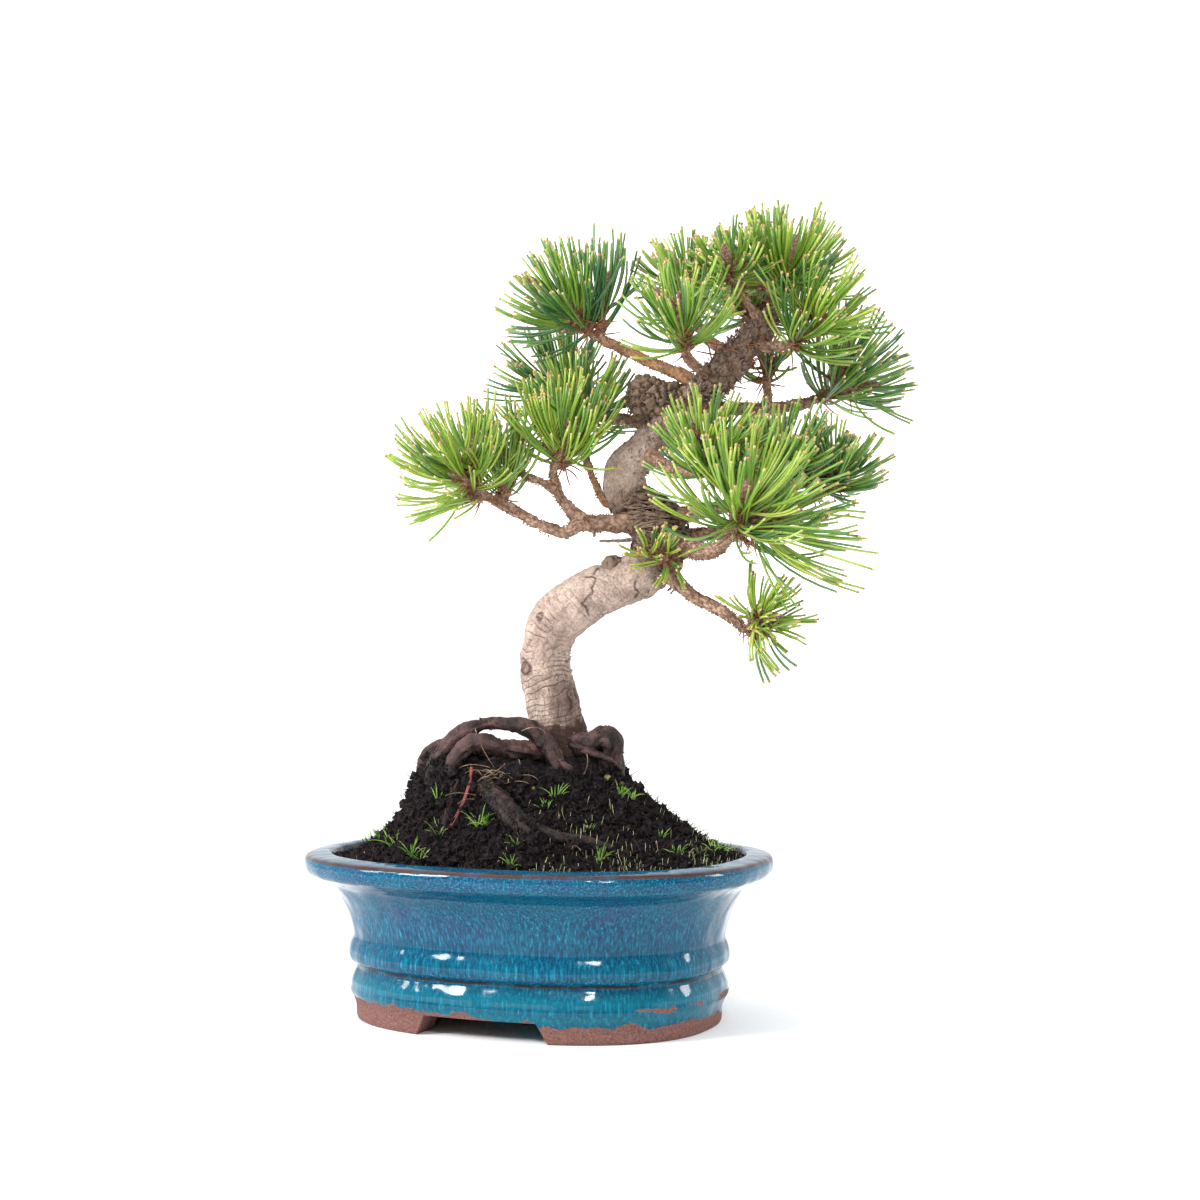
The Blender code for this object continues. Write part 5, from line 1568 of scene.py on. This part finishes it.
@dataclass
class Shoot:
    """One shoot: where it starts, where its bud begins, and how its needles stand."""

    base: np.ndarray
    bud: np.ndarray
    needle: float
    pairs: int
    spread: float
    palette: Palette
    candle: float
    first: float
    last: float
    crown: float
    lift: float
    closing: float


@dataclass
class Foliage:
    """All twigs, needles and buds, grown by the source's seeded rule with more needles and finer twigs."""

    source_seed: int = 20
    soil_draws: int = 160
    shoot_length: float = 13.0
    stem_start: float = 2.0
    gap: float = 0.3
    seed: int = 77
    needle_radii: tuple = (0.32, 0.48, 0.54, 0.54, 0.50)
    pair_spread: float = 0.06
    cut_length: float = 0.85
    low: tuple = (-118.0, -79.0, 70.0)
    high: tuple = (121.5, 78.0, 314.8)

    def __post_init__(self) -> None:
        """Grow the shoots of every mass."""
        chance = random.Random(self.source_seed)
        for _ in range(self.soil_draws):
            chance.random()
        self.limbs = {limb.name: limb for limb in (TRUNK, STUB, *ROOTS, *BOUGHS)}
        self.twigs: list = []
        self.shoots: list = []
        for mass in MASSES:
            self.grow(mass, chance)

    def coarse_end(self, name: str) -> tuple[Vector, Vector]:
        """Give a limb's tip and the way it points there."""
        step = 7.0 if name == "trunk" else 6.0
        path = smooth_path(self.limbs[name].path, step)
        tip, before = Vector(path[-1][:3]), Vector(path[-2][:3])
        return tip, (tip - before).normalized()

    def grow(self, mass: Mass, chance: random.Random) -> None:
        """Fork a mass's stem into its shoots, as in the source, then add its leading shoots."""
        heading = Vector(mass.heading).normalized()
        if mass.foot:
            foot, way_out = Vector(mass.foot), heading
        else:
            tip, way_out = self.coarse_end(mass.limb)
            foot = tip + way_out * self.gap
        fork = foot + way_out * self.stem_start + heading * mass.stem
        middle = foot + way_out * self.stem_start
        back = foot - way_out * 2.0
        self.twigs.append(smooth_knots((back, middle, fork), (1.9, 1.9, 1.7)))
        side_way = heading.orthogonal().normalized()
        phase = chance.uniform(0, 2 * math.pi)
        for index in range(mass.shoots):
            tilt = math.radians(mass.fan * (0.25 if index == 0 and mass.shoots > 3 else 1.0))
            spin = phase + 2 * math.pi * index / max(1, mass.shoots - (mass.shoots > 3))
            spin += chance.uniform(-0.3, 0.3)
            way = Quaternion(side_way, tilt) @ heading
            way = Quaternion(heading, spin) @ way
            way = (way + Vector((0.0, 0.0, 0.25))).normalized()
            length = min(self.shoot_length, mass.needle * 0.5) * chance.uniform(0.85, 1.15)
            tip = fork + way * length
            self.twigs.append(smooth_knots((fork, fork.lerp(tip, 0.5), tip), (1.5, 1.45, 1.2)))
            self.shoots.append(Shoot(np.array(fork), np.array(tip), mass.needle, mass.pairs, mass.spread,
                                     mass.palette, min(7.0, length * 0.5), 0.35, 0.92, mass.needle * 0.7, 0.12,
                                     0.78))
        for lead in mass.leads:
            base, bud = Vector(lead.base), Vector(lead.bud)
            reach = (base - fork).length
            if reach > 1.5:
                bend = fork.lerp(base, 0.5) - (bud - base).normalized() * reach * 0.12
                self.twigs.append(smooth_knots((fork - heading * 1.0, bend, base, bud), (1.7, 1.6, 1.7, 1.35)))
            else:
                self.twigs.append(smooth_knots((fork, base, bud), (1.7, 1.7, 1.35)))
            self.shoots.append(Shoot(np.array(base), np.array(bud), lead.needle, lead.pairs, lead.spread,
                                     mass.palette, lead.candle, 0.03, 0.80, lead.crown, lead.lift, 0.62))

    def lay_needles(self) -> None:
        """Lay every needle as a root, a bend and a tip, with its green and its share up the shoot."""
        generator = np.random.default_rng(self.seed)
        roots, bends, tips, greens = [], [], [], []
        for shoot in self.shoots:
            axis = shoot.bud - shoot.base
            way = axis / max(np.linalg.norm(axis), 1e-6)
            side = unit(np.cross(way, np.array([0.3, 0.9, 0.2])))
            other = np.cross(way, side)
            phase = generator.uniform(0, 2 * math.pi)
            for index in range(shoot.pairs):
                share = (index + 0.5) / shoot.pairs
                if index % 3 == 0:
                    green = self.deal(shoot.palette, share, generator)
                spin = phase + index * GOLDEN_ANGLE + generator.uniform(-0.5, 0.5)
                tilt = math.radians(shoot.spread * (1.0 - shoot.closing * share)) * generator.uniform(0.78, 1.18)
                out = side * math.cos(spin) + other * math.sin(spin)
                centre = shoot.base + axis * (shoot.first + (shoot.last - shoot.first) * share)
                lean = tilt + math.radians(generator.uniform(4.0, 22.0))
                rise = np.array([0.0, 0.0, shoot.lift])
                away = unit(way * math.cos(tilt) + out * math.sin(tilt) + rise)
                early = unit(way * math.cos(lean) + out * math.sin(lean) + np.abs(rise) * 0.6)
                if away[2] < -0.35 and shoot.lift > 0.0 and generator.random() < 0.6:
                    continue
                reach = shoot.needle * generator.uniform(0.80, 1.05)
                past = (centre - shoot.bud).dot(way) + reach * away.dot(way)
                crown = shoot.crown * generator.uniform(0.82, 1.10)
                if past > crown:
                    reach *= max(0.45, 1.0 - (past - crown) / (reach * away.dot(way)))
                sway = generator.normal(size=3) * 0.025
                apart = np.cross(away, unit(generator.normal(size=3)))
                root = centre + out * 1.1
                for half in (-1, 1):
                    drift = apart * half * self.pair_spread * generator.uniform(0.6, 1.6)
                    length = reach * generator.uniform(0.97, 1.0)
                    roots.append(root + apart * half * 0.42)
                    bends.append(root + (early + drift * 0.4 + sway) * length * 0.5 + apart * half * 0.42)
                    tips.append(centre + (away + drift) * length)
                    greens.append(green)
        self.roots, self.bends, self.tips = np.array(roots), np.array(bends), np.array(tips)
        self.greens = np.array(greens)
        self.trim()

    def deal(self, palette: Palette, share: float, generator: np.random.Generator) -> int:
        """Deal a green to a spray: lighter towards the shoot's end."""
        weights = np.array(palette.value)
        tilt = np.array([1.7, 1.4, 1.0, 0.7, 0.5]) if share > 0.5 else np.array([0.4, 0.7, 1.0, 1.4, 1.7])
        weights = weights * tilt
        return int(generator.choice(len(weights), p=weights / weights.sum()))

    def trim(self) -> None:
        """Keep needles in the plant's reach and drop those that would run through wood."""
        low, high = np.array(self.low), np.array(self.high)
        for _ in range(3):
            over = ((self.tips < low) | (self.tips > high)).any(axis=1)
            self.tips[over] += (self.roots[over] - self.tips[over]) * 0.12
            self.bends[over] += (self.roots[over] - self.bends[over]) * 0.12
        wood = [smooth_path(limb.path, 2.0) for limb in (TRUNK, STUB, *BOUGHS)]
        wood = np.concatenate(wood)
        wood[:, 3] += 0.5
        keep = ((self.tips > low) & (self.tips < high)).all(axis=1)
        for share in (0.3, 0.45, 0.6, 0.8, 1.0):
            at = self.roots * (1 - share) ** 2 + self.bends * 2 * share * (1 - share) + self.tips * share ** 2
            for start in range(0, len(at), 2000):
                block = slice(start, start + 2000)
                distance = np.linalg.norm(at[block, None] - wood[None, :, :3], axis=2) - wood[None, :, 3]
                keep[block] &= (distance > 0).all(axis=1)
        self.roots, self.bends, self.tips = self.roots[keep], self.bends[keep], self.tips[keep]
        self.greens = self.greens[keep]
        log.info("needles: %d", len(self.roots))

    def needles(self) -> None:
        """Make the living needles, a piece for each green, and their cut ends and sheaths."""
        masses = tuple(mass.name for mass in MASSES)
        generator = np.random.default_rng(self.seed + 1)
        spin = generator.uniform(0, 2 * math.pi, len(self.roots))
        slots = ("needle_bright", "needle_bright", "needle_green", "needle_dark", "needle_dark")
        for order, green in enumerate(Green):
            chosen = self.greens == order
            deep, light = green.value
            name = green.name.lower()
            finish = Cuticle("waxy_needle_" + name, roughness=0.34, relief=0.0, deep=deep, light=light, glow=0.12,
                             gleam=0.85)
            shell = Shell()
            blades(shell, self.roots[chosen], self.bends[chosen], self.tips[chosen], self.needle_radii,
                   steps=6, spin=spin[chosen])
            shell.piece("needles_" + name, finish.material(), slots[order], masses)
        self.cut_ends(spin)
        self.sheaths(generator)

    def at(self, share: np.ndarray | float) -> np.ndarray:
        """Give the point of every needle at a share of its curve."""
        share = np.broadcast_to(np.asarray(share, float), (len(self.roots),))[:, None]
        return self.roots * (1 - share) ** 2 + self.bends * 2 * share * (1 - share) + self.tips * share ** 2

    def cut_ends(self, spin: np.ndarray) -> None:
        """Make the needles' clipped ends, dried to straw."""
        length = np.linalg.norm(self.tips - self.roots, axis=1)
        start = self.at(1 - self.cut_length / length)
        end = self.tips + unit(self.tips - start) * 0.08
        shell = Shell()
        radius = self.needle_radii[-1]
        blades(shell, start, (start + end) / 2, end, (radius * 1.04, radius * 1.1, radius * 1.08), steps=2, spin=spin)
        finish = Grained("dried_clipped_end", roughness=0.7, relief=0.05, dark="#A68048", middle="#C2A46A",
                         light="#DAC696", grain=2.5)
        shell.piece("clipped_ends", finish.material(), "bark_orange")

    def sheaths(self, generator: np.random.Generator) -> None:
        """Make the papery brown sheath at the foot of each pair."""
        length = np.linalg.norm(self.tips - self.roots, axis=1)
        start = self.roots - unit(self.bends - self.roots) * 0.9
        reach = generator.uniform(1.6, 3.2, len(length)) / length
        shell = Shell()
        blades(shell, start, self.roots, self.at(reach), (0.5, 0.72, 0.66), steps=2)
        finish = Grained("papery_sheath", roughness=0.8, relief=0.1, dark="#5B3A2A", middle="#855A40",
                         light="#A97F5E", grain=1.2)
        shell.piece("needle_sheaths", finish.material(), "bark_brown")

    def buds(self) -> None:
        """Make the candle buds: slim spindles of overlapping brown scales."""
        shell = Shell()
        for order, shoot in enumerate(self.shoots):
            way = unit(shoot.bud - shoot.base)
            length = shoot.candle
            width = 0.115 * length + 0.45
            share = np.linspace(0, 1, 26)
            profile = np.sin(math.pi * np.clip(share * 0.82 + 0.16, 0, 1)) ** 0.8 * width
            centres = shoot.bud - way * 0.8 + way * share[:, None] * length
            tube = Tube(np.column_stack([centres, profile]), 14)
            turn = tube.angle / (2 * math.pi) * 3 + tube.along / (length * 0.075)
            lap = turn - np.floor(turn)
            tube.add_to(shell, (0.5 - lap) * 0.11 * width)
        finish = Grained("resinous_bud_scales", roughness=0.6, relief=0.18, dark="#54382F", middle="#80604F",
                         light="#B59C8C", grain=0.9)
        shell.piece("candle_buds", finish.material(), "bark_brown")

    def dead_needles(self) -> None:
        """Hang the dry orange-brown needles and scales that stay round the older shoots."""
        generator = np.random.default_rng(self.seed + 2)
        roots, bends, tips = [], [], []
        for shoot in self.shoots:
            way = unit(shoot.bud - shoot.base)
            count = 6 if shoot.first < 0.2 else 2
            for _ in range(count):
                out = unit(np.cross(way, generator.normal(size=3)))
                root = shoot.base + (shoot.bud - shoot.base) * generator.uniform(-0.1, 0.5) + out * 1.2
                aim = unit(out * 0.9 + way * generator.uniform(-0.5, 0.5) + np.array([0, 0, -0.35]))
                length = generator.uniform(3.0, 11.0)
                roots.append(root)
                bends.append(root + aim * length * 0.5 + generator.normal(size=3) * 0.8)
                tips.append(root + aim * length)
        for place in smooth_path(TRUNK.path[-5:], 0.7):
            out = unit(generator.normal(size=3))
            root = place[:3] + out * place[3]
            aim = unit(out + np.array([0, 0, -0.4]) + generator.normal(size=3) * 0.4)
            length = generator.uniform(3.0, 11.0)
            roots.append(root)
            bends.append(root + aim * length * 0.5 + generator.normal(size=3) * 0.8)
            tips.append(root + aim * length)
        shell = Shell()
        blades(shell, np.array(roots), np.array(bends), np.array(tips), (0.34, 0.36, 0.16), steps=4)
        finish = Grained("dry_needle", roughness=0.75, relief=0.05, dark="#6E3C26", middle="#96603E",
                         light="#BC8E66", grain=5.0)
        shell.piece("dry_needles", finish.material(), "bark_orange")


def smooth_knots(places: tuple, radii: tuple) -> tuple:
    """Join places and radii into rows of x, y, z and radius."""
    return tuple((*place, radius) for place, radius in zip(places, radii))


# What lies on the soil


@dataclass
class Litter:
    """The small things on the soil and round the roots: a fallen needle pair, pebbles, rootlets and threads."""

    soil: SoilHeap
    seed: int = 9
    tangle: int = 30
    needle_pair: tuple = ((-54.6, -23.0, 3.4), (-56.6, -28.3, 2.6), (-63.1, -31.0, 1.2))
    pebbles: tuple = ((-3.6, -15.5, 1.6), (0.5, -14.5, 1.2), (-8.2, -22.5, 0.9), (-31.0, -28.0, 1.0), (2.2, -12.0, 1.4),
                      (-5.5, -13.0, 1.1), (24.0, -36.0, 1.2), (-60.0, 34.0, 1.3), (10.0, 30.0, 1.5))

    def fallen_needles(self) -> bpy.types.Object:
        """Lay the orange fallen pair on the left slope and a few more round the back."""
        pairs = [self.needle_pair,
                 ((-20.0, 44.0, 1.5), (-14.0, 46.0, 2.4), (-6.0, 47.0, 1.2)),
                 ((-78.0, 20.0, 1.4), (-80.0, 26.0, 2.0), (-79.0, 32.0, 1.2))]
        shell = Shell()
        roots, bends, tips = [], [], []
        for rows in pairs:
            places = [np.array([x, y, self.soil.height_at(x, y) + lift]) for x, y, lift in rows]
            for side in (-0.22, 0.22):
                shift = np.array([side, -side, 0.2])
                roots.append(places[0] + shift)
                bends.append(2 * places[1] - (places[0] + places[2]) / 2 + shift)
                tips.append(places[2] + shift * 1.8)
        blades(shell, np.array(roots), np.array(bends), np.array(tips), (0.42, 0.46, 0.34, 0.16), steps=12, sides=6)
        finish = Grained("fallen_dry_needle", roughness=0.45, relief=0.02, dark="#581E12", middle="#74281A",
                         light="#8A4430", grain=14.0)
        return shell.piece("fallen_needles", finish.material(), "bark_orange")

    def stones(self) -> bpy.types.Object:
        """Set the yellowish pebbles among the roots."""
        generator = np.random.default_rng(self.seed)
        shell = Shell()
        for x, y, size in self.pebbles:
            size *= 0.8
            share = np.linspace(0.02, 0.98, 12)
            profile = np.sin(math.pi * share) ** 0.6 * size
            centre = np.array([x, y, self.soil.height_at(x, y) + size * 0.35])
            way = unit(generator.normal(size=3) * np.array([1, 1, 0.3]))
            path = np.column_stack([centre + way * (share[:, None] - 0.5) * size * 2.2, profile])
            tube = Tube(path, 18)
            tube.add_to(shell, rough(tube.surface(), 1.6, 2, 91) * size * 0.16)
        finish = Grained("grit_pebble", roughness=0.7, relief=0.12, dark="#4E4A22", middle="#75703A",
                         light="#A39C63", grain=1.8)
        return shell.piece("grit_pebbles", finish.material(), "soil")

    def threads(self) -> bpy.types.Object:
        """Hang the thin pale rootlets from the roots and strew some over the soil."""
        generator = np.random.default_rng(self.seed + 1)
        lines = [((-53.6, -15.5, 112.0), (-50.0, -22.0, 104.0), (-44.0, -20.0, 94.5)),
                 ((-50.0, -21.0, 96.0), (-44.0, -26.0, 96.5), (-38.0, -27.5, 93.0)),
                 ((-42.0, -21.5, 99.0), (-46.0, -25.0, 96.0), (-52.0, -26.0, 93.0)),
                 ((-12.0, -13.0, 104.0), (-11.0, -17.0, 99.0), (-13.0, -20.0, 94.0)),
                 ((-36.0, -16.0, 111.0), (-30.0, -20.0, 112.5), (-26.0, -18.0, 109.0))]
        for x, y in ((40, -18), (33, -26), (26, -33), (36, -12), (-42, -52), (-70, -38), (15, -40), (-12, -53),
                     (20, 35), (-30, 52), (-80, 10)):
            foot = np.array([x, y, self.soil.height_at(x, y) + 0.3])
            way = generator.normal(size=3) * np.array([4.0, 2.5, 0.0]) + np.array([0, 0, 2.2])
            lines.append((foot, foot + way * 0.7 + np.array([0, 0, 2.0]), foot + way))
        for _ in range(self.tangle):
            x, y = -45.0 + generator.normal() * 5.0, -25.5 + generator.normal() * 3.0
            foot = np.array([x, y, self.soil.height_at(x, y) + 0.4])
            way = generator.normal(size=3) * np.array([4.5, 2.5, 1.2])
            lines.append((foot, foot + way * 0.6 + np.array([0, 0, 1.6]), foot + way + np.array([0, 0, 0.6])))
        shell = Shell()
        roots, bends, tips = (np.array([line[turn] for line in lines], float) for turn in range(3))
        blades(shell, roots, bends * 2 - (roots + tips) / 2, tips, (0.15, 0.13, 0.09), steps=10, sides=4)
        finish = Grained("bare_rootlet", roughness=0.6, relief=0.05, dark="#5E4636", middle="#866A54",
                         light="#BFAA92", grain=3.0)
        return shell.piece("thin_rootlets", finish.material(), "bark_root")

    def dead_twigs(self) -> bpy.types.Object:
        """Leave the short dead twigs on the trunk and the bare spurs on the left bough."""
        lines = (((10.0, -1.5, 184.6), (-6.5, -7.0, 183.2), 0.8), ((-18.0, -6.5, 187.0), (-19.5, -8.0, 184.0), 0.8),
                 ((12.0, -9.0, 164.5), (10.5, -10.5, 161.5), 0.6), ((22.0, -4.0, 168.0), (19.5, -5.5, 164.0), 0.6),
                 ((-9.0, -6.5, 187.5), (-8.6, -7.6, 184.8), 0.7), ((24.0, -9.5, 168.5), (20.5, -11.0, 163.0), 0.5),
                 ((66.0, 17.0, 236.0), (66.0, 13.0, 228.0), 0.9), ((1.0, 5.0, 232.0), (-4.0, 3.0, 229.0), 0.9))
        shell = Shell()
        for start, end, radius in lines:
            middle = (np.array(start) + np.array(end)) / 2 + np.array([0.2, 0.0, -0.5])
            knots = ((*start, radius), (*middle, radius * 0.85), (*end, radius * 0.6))
            tube = Tube(smooth_path(knots, 0.35), 12)
            tube.add_to(shell, rough(tube.surface(), 0.9, 2, 95) * 0.22)
        finish = Grained("dead_grey_twig", roughness=0.85, relief=0.15, dark="#4A3C35", middle="#7C6A5E",
                         light="#A39285", grain=1.0)
        return shell.piece("dead_twigs", finish.material(), "bark_brown")


# Studio


@dataclass
class Studio:
    """A plain white floor, soft lamps and the camera at the picture's own angle."""

    eye: tuple[float, float, float] = (-0.0063, -0.887, 0.1606)
    lens: float = 69.0
    sensor: float = 36.0
    floor_reach: float = 6.0
    sky: float = 1.12
    room: float = 0.32
    sun: float = 1.5
    sun_width: float = math.radians(80.0)

    def camera(self) -> None:
        """Stand the level camera in front of the plant."""
        data = bpy.data.cameras.new("front_camera")
        data.lens = self.lens
        data.sensor_width = self.sensor
        data.clip_start = 0.01
        thing = bpy.data.objects.new("front_camera", data)
        thing.location = self.eye
        thing.rotation_euler = (math.radians(90.0), 0.0, 0.0)
        bpy.context.scene.collection.objects.link(thing)
        bpy.context.scene.camera = thing

    def floor(self) -> None:
        """Lay the floor: matt white paper."""
        reach = self.floor_reach
        mesh = bpy.data.meshes.new("paper_floor")
        mesh.from_pydata([(-reach, -reach, 0), (reach, -reach, 0), (reach, reach, 0), (-reach, reach, 0)], [],
                         [(0, 1, 2, 3)])
        thing = bpy.data.objects.new("paper_floor", mesh)
        bpy.context.scene.collection.objects.link(thing)
        finish = Grained("matt_white_paper", roughness=0.9, relief=0.02, dark="#F4F4F4", middle="#F7F7F7",
                         light="#FAFAFA", grain=2.0)
        mesh.materials.append(finish.material())

    def backdrop(self) -> None:
        """Close the set with a white dome that is only seen: it neither lights nor shades anything."""
        around, up = np.meshgrid(np.arange(48) * math.pi / 24, np.linspace(0, math.pi / 2, 13))
        ring = np.stack([np.cos(around) * np.cos(up), np.sin(around) * np.cos(up), np.sin(up)], axis=-1)
        corners = np.arange(ring.size // 3).reshape(13, 48)
        follow = np.roll(corners, -1, axis=1)
        faces = np.stack([corners[:-1], corners[1:], follow[1:], follow[:-1]], axis=-1).reshape(-1, 4)
        mesh = bpy.data.meshes.new("white_backdrop")
        mesh.from_pydata((ring.reshape(-1, 3) * self.floor_reach).tolist(), [], faces.tolist())
        thing = bpy.data.objects.new("white_backdrop", mesh)
        bpy.context.scene.collection.objects.link(thing)
        for ray in ("diffuse", "glossy", "transmission", "volume_scatter", "shadow"):
            setattr(thing, f"visible_{ray}", False)
        paper = Grained("white_backdrop_paper", roughness=0.9, relief=0.0, dark="#F4F4F4", middle="#F7F7F7",
                        light="#FAFAFA", grain=2.0).material()
        shader = next(node for node in paper.node_tree.nodes if node.type == "BSDF_PRINCIPLED")
        shader.inputs["Emission Color"].default_value = (1.0, 1.0, 1.0, 1.0)
        shader.inputs["Emission Strength"].default_value = self.sky
        paper.cycles.emission_sampling = "NONE"
        mesh.materials.append(paper)

    def lamp(self, name: str, place: tuple, aim: tuple, size: tuple, power: float) -> None:
        """Hang one soft rectangular lamp.

        Args:
            name: Its name.
            place: Where it hangs, in metres.
            aim: The point it faces.
            size: Its width and height in metres.
            power: Its power in watts.
        """
        data = bpy.data.lights.new(name, "AREA")
        data.shape = "RECTANGLE"
        data.size, data.size_y = size
        data.energy = power
        thing = bpy.data.objects.new(name, data)
        thing.location = place
        way = Vector(aim) - Vector(place)
        thing.rotation_euler = way.to_track_quat("-Z", "Y").to_euler()
        bpy.context.scene.collection.objects.link(thing)

    def daylight(self) -> None:
        """Add the soft light from above that keeps the paper white to its far edge."""
        data = bpy.data.lights.new("ceiling_light", "SUN")
        data.energy = self.sun
        data.angle = self.sun_width
        thing = bpy.data.objects.new("ceiling_light", data)
        thing.rotation_euler = (math.radians(12.0), math.radians(-8.0), 0.0)
        bpy.context.scene.collection.objects.link(thing)

    def light(self) -> None:
        """Light the set: a white backdrop, a dimmer room behind the camera and window-like lamps in it."""
        world = bpy.data.worlds.new("white_surround")
        world.use_nodes = True
        background = world.node_tree.nodes["Background"]
        tree = world.node_tree
        place = add_node(tree, "TexCoord").outputs["Generated"]
        depth = add_node(tree, "SeparateXYZ", {}, {0: place}).outputs["Y"]
        settings = {"From Min": -0.35, "From Max": 0.1, "To Min": self.room, "To Max": self.sky}
        strength = add_node(tree, "MapRange", settings, {"Value": depth}).outputs[0]
        background.inputs["Color"].default_value = (1.0, 1.0, 1.0, 1.0)
        tree.links.new(strength, background.inputs["Strength"])
        bpy.context.scene.world = world
        self.daylight()
        aim = (-0.01, 0.0, 0.14)
        self.lamp("left_window", (-1.32, -0.72, 0.95), aim, (0.36, 0.5), 25.0)
        self.lamp("left_side_window", (-1.5, -0.2, 0.9), aim, (0.2, 0.5), 7.0)
        self.lamp("front_window", (0.1, -1.7, 1.15), aim, (0.3, 0.24), 11.0)
        self.lamp("right_window", (1.48, 0.1, 0.7), aim, (0.24, 0.6), 8.0)
        scene = bpy.context.scene
        scene.view_settings.view_transform = "Standard"
        scene.view_settings.look = "None"


STARS = (
    (-67.7, -22.0, 1.2), (-66.0, -30.0, 1.3), (-51.6, -35.0, 1.3), (-23.1, -30.5, 1.1), (-26.7, -34.0, 0.9),
    (1.2, -21.0, 1.0), (6.0, -18.0, 1.0), (-37.4, -47.5, 1.1), (-38.2, -53.0, 1.0), (-6.3, -53.0, 1.1),
    (39.3, -17.0, 1.2), (36.0, -21.0, 1.0), (31.0, -28.0, 0.9), (-72.0, -37.0, 1.0), (-76.0, -34.0, 1.1),
    (-90.0, -8.0, 1.0), (-86.0, -16.0, 1.2), (-83.0, -21.0, 1.1), (-95.0, 4.0, 0.9), (16.1, -31.0, 0.9),
    (-48.5, -36.0, 0.8), (22.0, -40.0, 0.9), (-10.0, -41.0, 0.7), (-20.0, 47.0, 1.1), (-50.0, 48.0, 1.2),
    (8.0, 34.0, 1.0), (28.0, 18.0, 1.1), (-78.0, 30.0, 1.2), (-64.0, 40.0, 0.9), (20.0, 4.0, 0.9),
)


def main() -> None:
    """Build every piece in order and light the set."""
    logging.basicConfig(level=logging.INFO, format="%(message)s")
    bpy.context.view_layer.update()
    studio = Studio()
    studio.camera()
    GlazedPot().shape()
    soil = SoilHeap()
    peat = Grained("damp_peat", roughness=0.95, relief=0.5, dark="#060507", middle="#110D10", light="#302729",
                   grain=1.1, gleam=0.2).material()
    soil.ground(peat)
    soil.grains(peat)
    fibre = Grained("peat_fibre", roughness=0.9, relief=0.1, dark="#120C0A", middle="#241914", light="#4A372B",
                    grain=6.0).material()
    soil.fibres(fibre)
    stalk = Cuticle("pale_moss_stalk", roughness=0.5, relief=0.02, deep="#8E9A5C", light="#CDD2A6", patch=6.0)
    soil.moss_sprouts(stalk.material())
    leaf = Cuticle("moss_leaf", roughness=0.45, relief=0.02, deep="#4A7A22", light="#94B654", patch=5.0, glow=0.1)
    soil.moss_stars(leaf.material(), STARS)
    litter = Litter(soil)
    litter.fallen_needles()
    litter.stones()
    litter.threads()
    litter.dead_twigs()
    foliage = Foliage()
    wood = Wood()
    wood.trunk()
    wood.stub()
    wood.roots(soil)
    wood.boughs(BarkAge.TWIG)
    wood.boughs(BarkAge.ORANGE)
    wood.twigs(foliage.twigs)
    foliage.lay_needles()
    foliage.needles()
    foliage.buds()
    foliage.dead_needles()
    studio.floor()
    studio.backdrop()
    studio.light()


if __name__ == "__main__":
    main()
